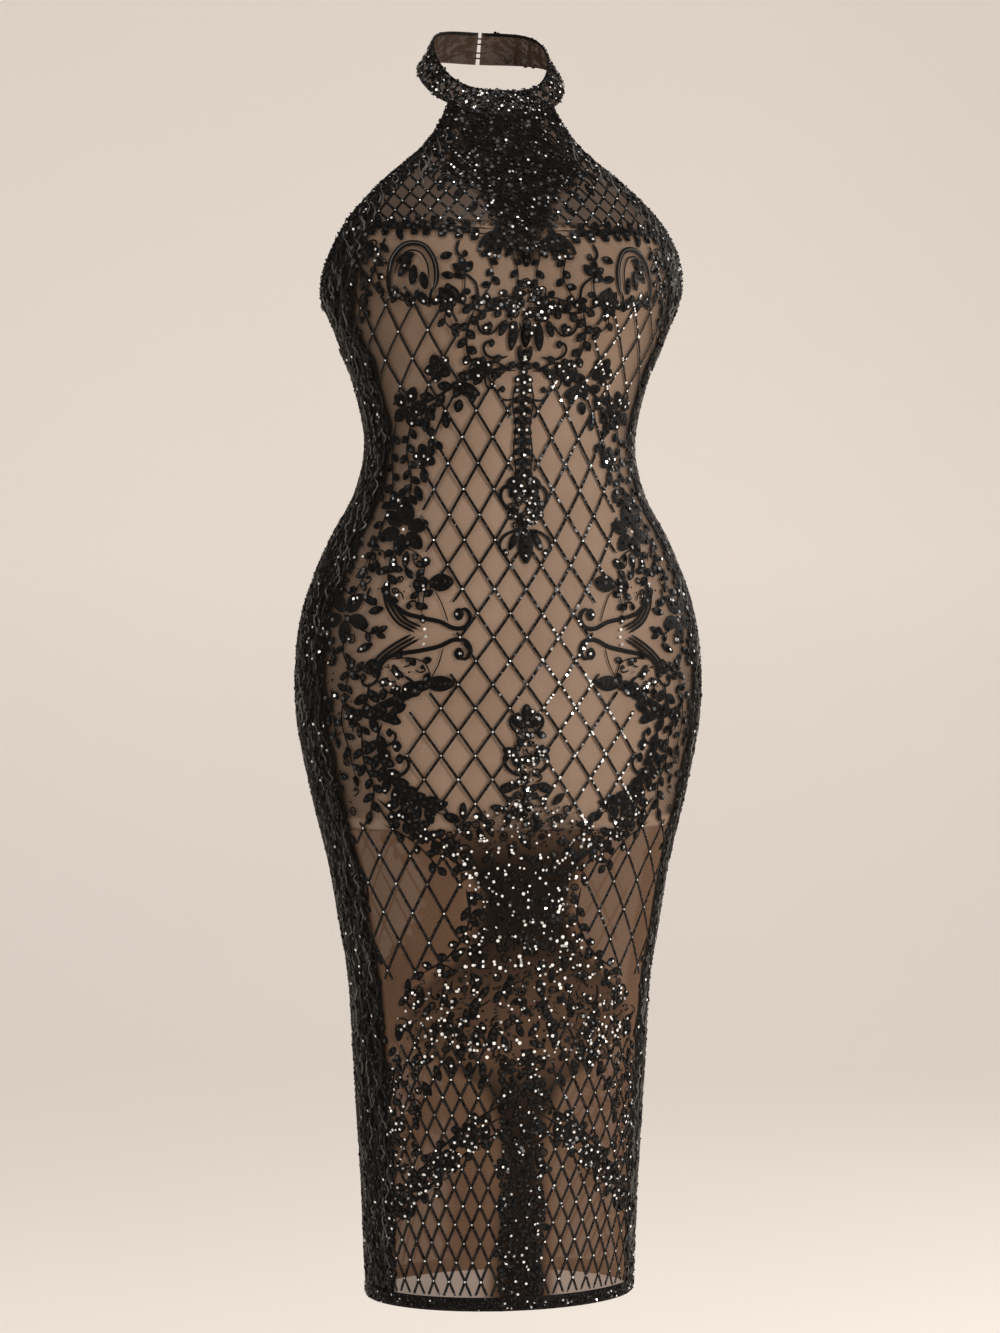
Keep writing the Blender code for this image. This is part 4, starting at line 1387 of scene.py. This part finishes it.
# the stand collar
neckLine = np.linspace(-1, 1, 90) * (front.half[0] - 0.02)
neckRails = [
    (collar, 2.9, 0.05), (collar, 3.1, 0.10), (front, front.down[0] + 0.12, 0.10),
    (front, front.down[0] + 0.36, 0.05)
]
neckRails = [(cloth, neckLine, down + 0 * neckLine, lift + 0 * neckLine) for cloth, down, lift in neckRails]
neckSeam = edgeStrip("neck_seam", neckRails, [])
collarSize = (shell["collarRows"], shell["collarColumns"])
netCollar = clothSheet(
    "net_collar", collar, 0.0, figure["collarHigh"], 0.0, finishes["netCollar"], "sheer_mesh", *collarSize
)
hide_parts("collar")
around = np.linspace(-1, 1, shell["collarColumns"]) * collar.halfAt(0.0)
edgeStrip(
        "collar_top_edge",
        [(collar, around, inset + 0 * around, lift + 0 * around) for inset, lift in trim["collar"]],
        ["collar_binding"]
    )
needle["collar"] = Needlework(15)
collarPlan = {
    "down": (0.25, 3.1),
    "wide": ((0, 1.45), (4, 1.6)),
    "high": ((0, 1.55), (4, 1.55)),
    "inner": ((0, 0.0), (4, 0.0)),
    "outer": ((0, 17.2), (1.5, 18.6), (3.2, 20.3)),
    "phase": 0.0,
}
sewLattice(needle["collar"], collarPlan)
needle["collar"].mirror = False
needle["collar"].cluster(
    lambda x, y: np.abs(x) < collar.halfAt(y) - 0.3, (-21, 21, 0.3, 3.1), 0.72, 0.10, 0.9
)
needle["collar"].cluster(lambda x, y: np.abs(x) < 2.2 + y * 0.8, (-5, 5, 0.3, 3.1), 0.52, 0.2, 1.3)
for low in (2.95, 0.25):
    line = np.linspace(-1, 1, 200) * collar.halfAt(low)
    beadEdge(needle["collar"], line, low + 0 * line, *beads["collar"])
needle["front"].mirror = needle["back"].mirror = False
for side in (1, -1):
    beadEdge(needle["front"], side * (front.halfAt(armDown) - 0.35), armDown, *beads["armhole"])
wideHem = np.linspace(-1, 1, 200)
for name, cloth in (("front", front), ("back", back)):
    beadEdge(needle[name], wideHem * cloth.halfAt(119.5), hemFoot - 0.68 + 0 * wideHem, *beads["hem"])
beadEdge(needle["back"], wideHem * back.halfAt(24.2), 24.2 + 0 * wideHem, *beads["backTop"])


sewnNames = {
    "front": ("front_scrolls", front),
    "back": ("back_scrolls", back),
    "frontGrid": ("front_lattice", front),
    "backGrid": ("back_lattice", back),
    "collar": ("collar_beading", collar),
}
sewn = {name: work.build(*sewnNames[name]) for name, work in needle.items()}


def partsFinish():
    made, start, feed = newFinish("coveredButtons", thread["button"], 0.45, Specular_IOR_Level=0.4)
    weave = noiseOf(start, 700.0) * 0.5
    feed(Normal=weave.bump(0.5, 0.0006), Roughness=weave + 0.3)
    return made


fittings = partsFinish()
for nodeName in ("button_1", "button_2", "button_loop_1", "button_loop_2"):
    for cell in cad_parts[nodeName].material_slots:
        cell.material = fittings


def areaOf(cloth, top, foot):
    down = np.linspace(top, foot, 200)
    share = np.linspace(-1, 1, 121)
    points, _ = cloth.at(share * cloth.halfAt(down)[:, None], down[:, None] + 0 * share)
    over, along = np.diff(points, axis=1)[:-1], np.diff(points, axis=0)[:, :-1]
    return float(np.linalg.norm(np.cross(over, along), axis=2).sum())


def declareCloth(piece, cloth, top, foot):
    down = np.linspace(top, foot, 60)
    width = float(cloth.halfAt(down).max()) * 2 / 100
    middle, _ = cloth.at(0 * down, down)
    length = float(np.linalg.norm(np.diff(middle, axis=0), axis=1).sum())
    area = min(areaOf(cloth, top, foot), width * length)
    print("stage: sheet", piece.name, round(width, 3), round(length, 3), round(area, 4))


studio = {
    "wall": (0.80, 0.740, 0.680),
    "glow": 0.33,
    "seen": (0.80, 0.725, 0.655),    # the room where no paper hangs
    "floor": -1.50,
    "behind": 4.7,
    "curve": 1.2,
    "world": (1.0, 0.955, 0.92),
    "worldStrength": 0.20,
    "key": (34.0, 12.0, 3.0, 0.7, 62.0),     # azimuth, height, distance, size, watts
    "fill": (-70.0, 20.0, 3.2, 1.4, 26.0),
    "rim": (100.0, 20.0, 3.2, 1.2, 30.0),
    "top": (0.0, 70.0, 3.0, 1.6, 34.0),
    "lamp": (1, 0.96, 0.92),
}


view = {"azimuth": -12.0, "distance": 2.8, "height": -0.591, "lens": 77.13}


def backdropFinish():
    made, start, feed = newFinish(
        "backdropPaper", studio["wall"], 0.9, Specular_IOR_Level=0.1, Emission_Strength=studio["glow"],
        Emission_Color=(*studio["wall"], 1)
    )
    feed(
        Base_Color=noiseOf(start, 1.2).between(0.3, 0.7).blend(
            (*studio["wall"], 1), (*[c * 1.015 for c in studio["wall"]], 1)
        )
    )
    return made


def buildBackdrop():
    curve, behind, floor = studio["curve"], studio["behind"], studio["floor"]
    bend = np.linspace(0, math.pi / 2, 24)
    y = np.concatenate([[-6.0, -2.0], behind - curve + curve * np.sin(bend), [behind]])
    z = np.concatenate([[floor, floor], floor + curve * (1 - np.cos(bend)), [4.5]])
    x = np.linspace(-7, 7, 12)
    points = np.stack([x + 0 * y[:, None], y[:, None] + 0 * x, z[:, None] + 0 * x], -1)
    paper = newPiece(
        "backdrop", points.reshape(-1, 3), gridFaces(len(y), len(x))[:, ::-1], backdropFinish(), True
    )
    paper.rotation_euler[2] = math.radians(view["azimuth"])


buildBackdrop()


def addLamp(name, azimuth, height, distance, size, watts):
    around, up = math.radians(azimuth), math.radians(height)
    aim = Vector((0, -figure["forward"], -0.6))
    way = Vector((math.sin(around) * math.cos(up), -math.cos(around) * math.cos(up), math.sin(up)))
    lamp = bpy.data.objects.new(name, bpy.data.lights.new(name, "AREA"))
    lamp.data.size, lamp.data.energy, lamp.data.color = size, watts, studio["lamp"]
    lamp.data.shape = "DISK"
    lamp.location = aim + way * distance
    lamp.rotation_euler = way.to_track_quat("Z", "Y").to_euler()
    bpy.context.scene.collection.objects.link(lamp)


for lampName in ("key", "fill", "rim", "top"):
    addLamp(lampName + "Lamp", *studio[lampName])

world = bpy.data.worlds.new("studio")
world.use_nodes = True
room = world.node_tree.nodes["Background"]
ray = Socket(world.node_tree, room.outputs[0]).node("ShaderNodeLightPath", out="Is Camera Ray")
shade = ray.blend((*[c * studio["worldStrength"] for c in studio["world"]], 1), (*studio["seen"], 1))
world.node_tree.links.new(shade.socket, room.inputs["Color"])
bpy.context.scene.world = world
bpy.context.scene.view_settings.view_transform = "Standard"

camera = bpy.data.objects.new("camera", bpy.data.cameras.new("camera"))
turn = math.radians(view["azimuth"])
camera.location = (
    view["distance"] * math.sin(turn), -figure["forward"] - view["distance"] * math.cos(turn),
    view["height"]
)
camera.rotation_euler = (math.pi / 2, 0, turn)
camera.data.lens, camera.data.sensor_width, camera.data.sensor_fit = view["lens"], 36.0, "AUTO"
bpy.context.scene.collection.objects.link(camera)
bpy.context.scene.camera = camera
print("stage: studio")


declareCloth(
    netFront, front, 5.4, shell["foot"]
)
declareCloth(
    netBack, back, shell["backTop"], shell["foot"],
)
declareCloth(slipFront, front, figure["slipTop"], figure["slipHem"])
declareCloth(slipBack, back, figure["slipBackTop"], figure["slipHem"])
declareCloth(
    netCollar, collar, 0.0, figure["collarHigh"]
)
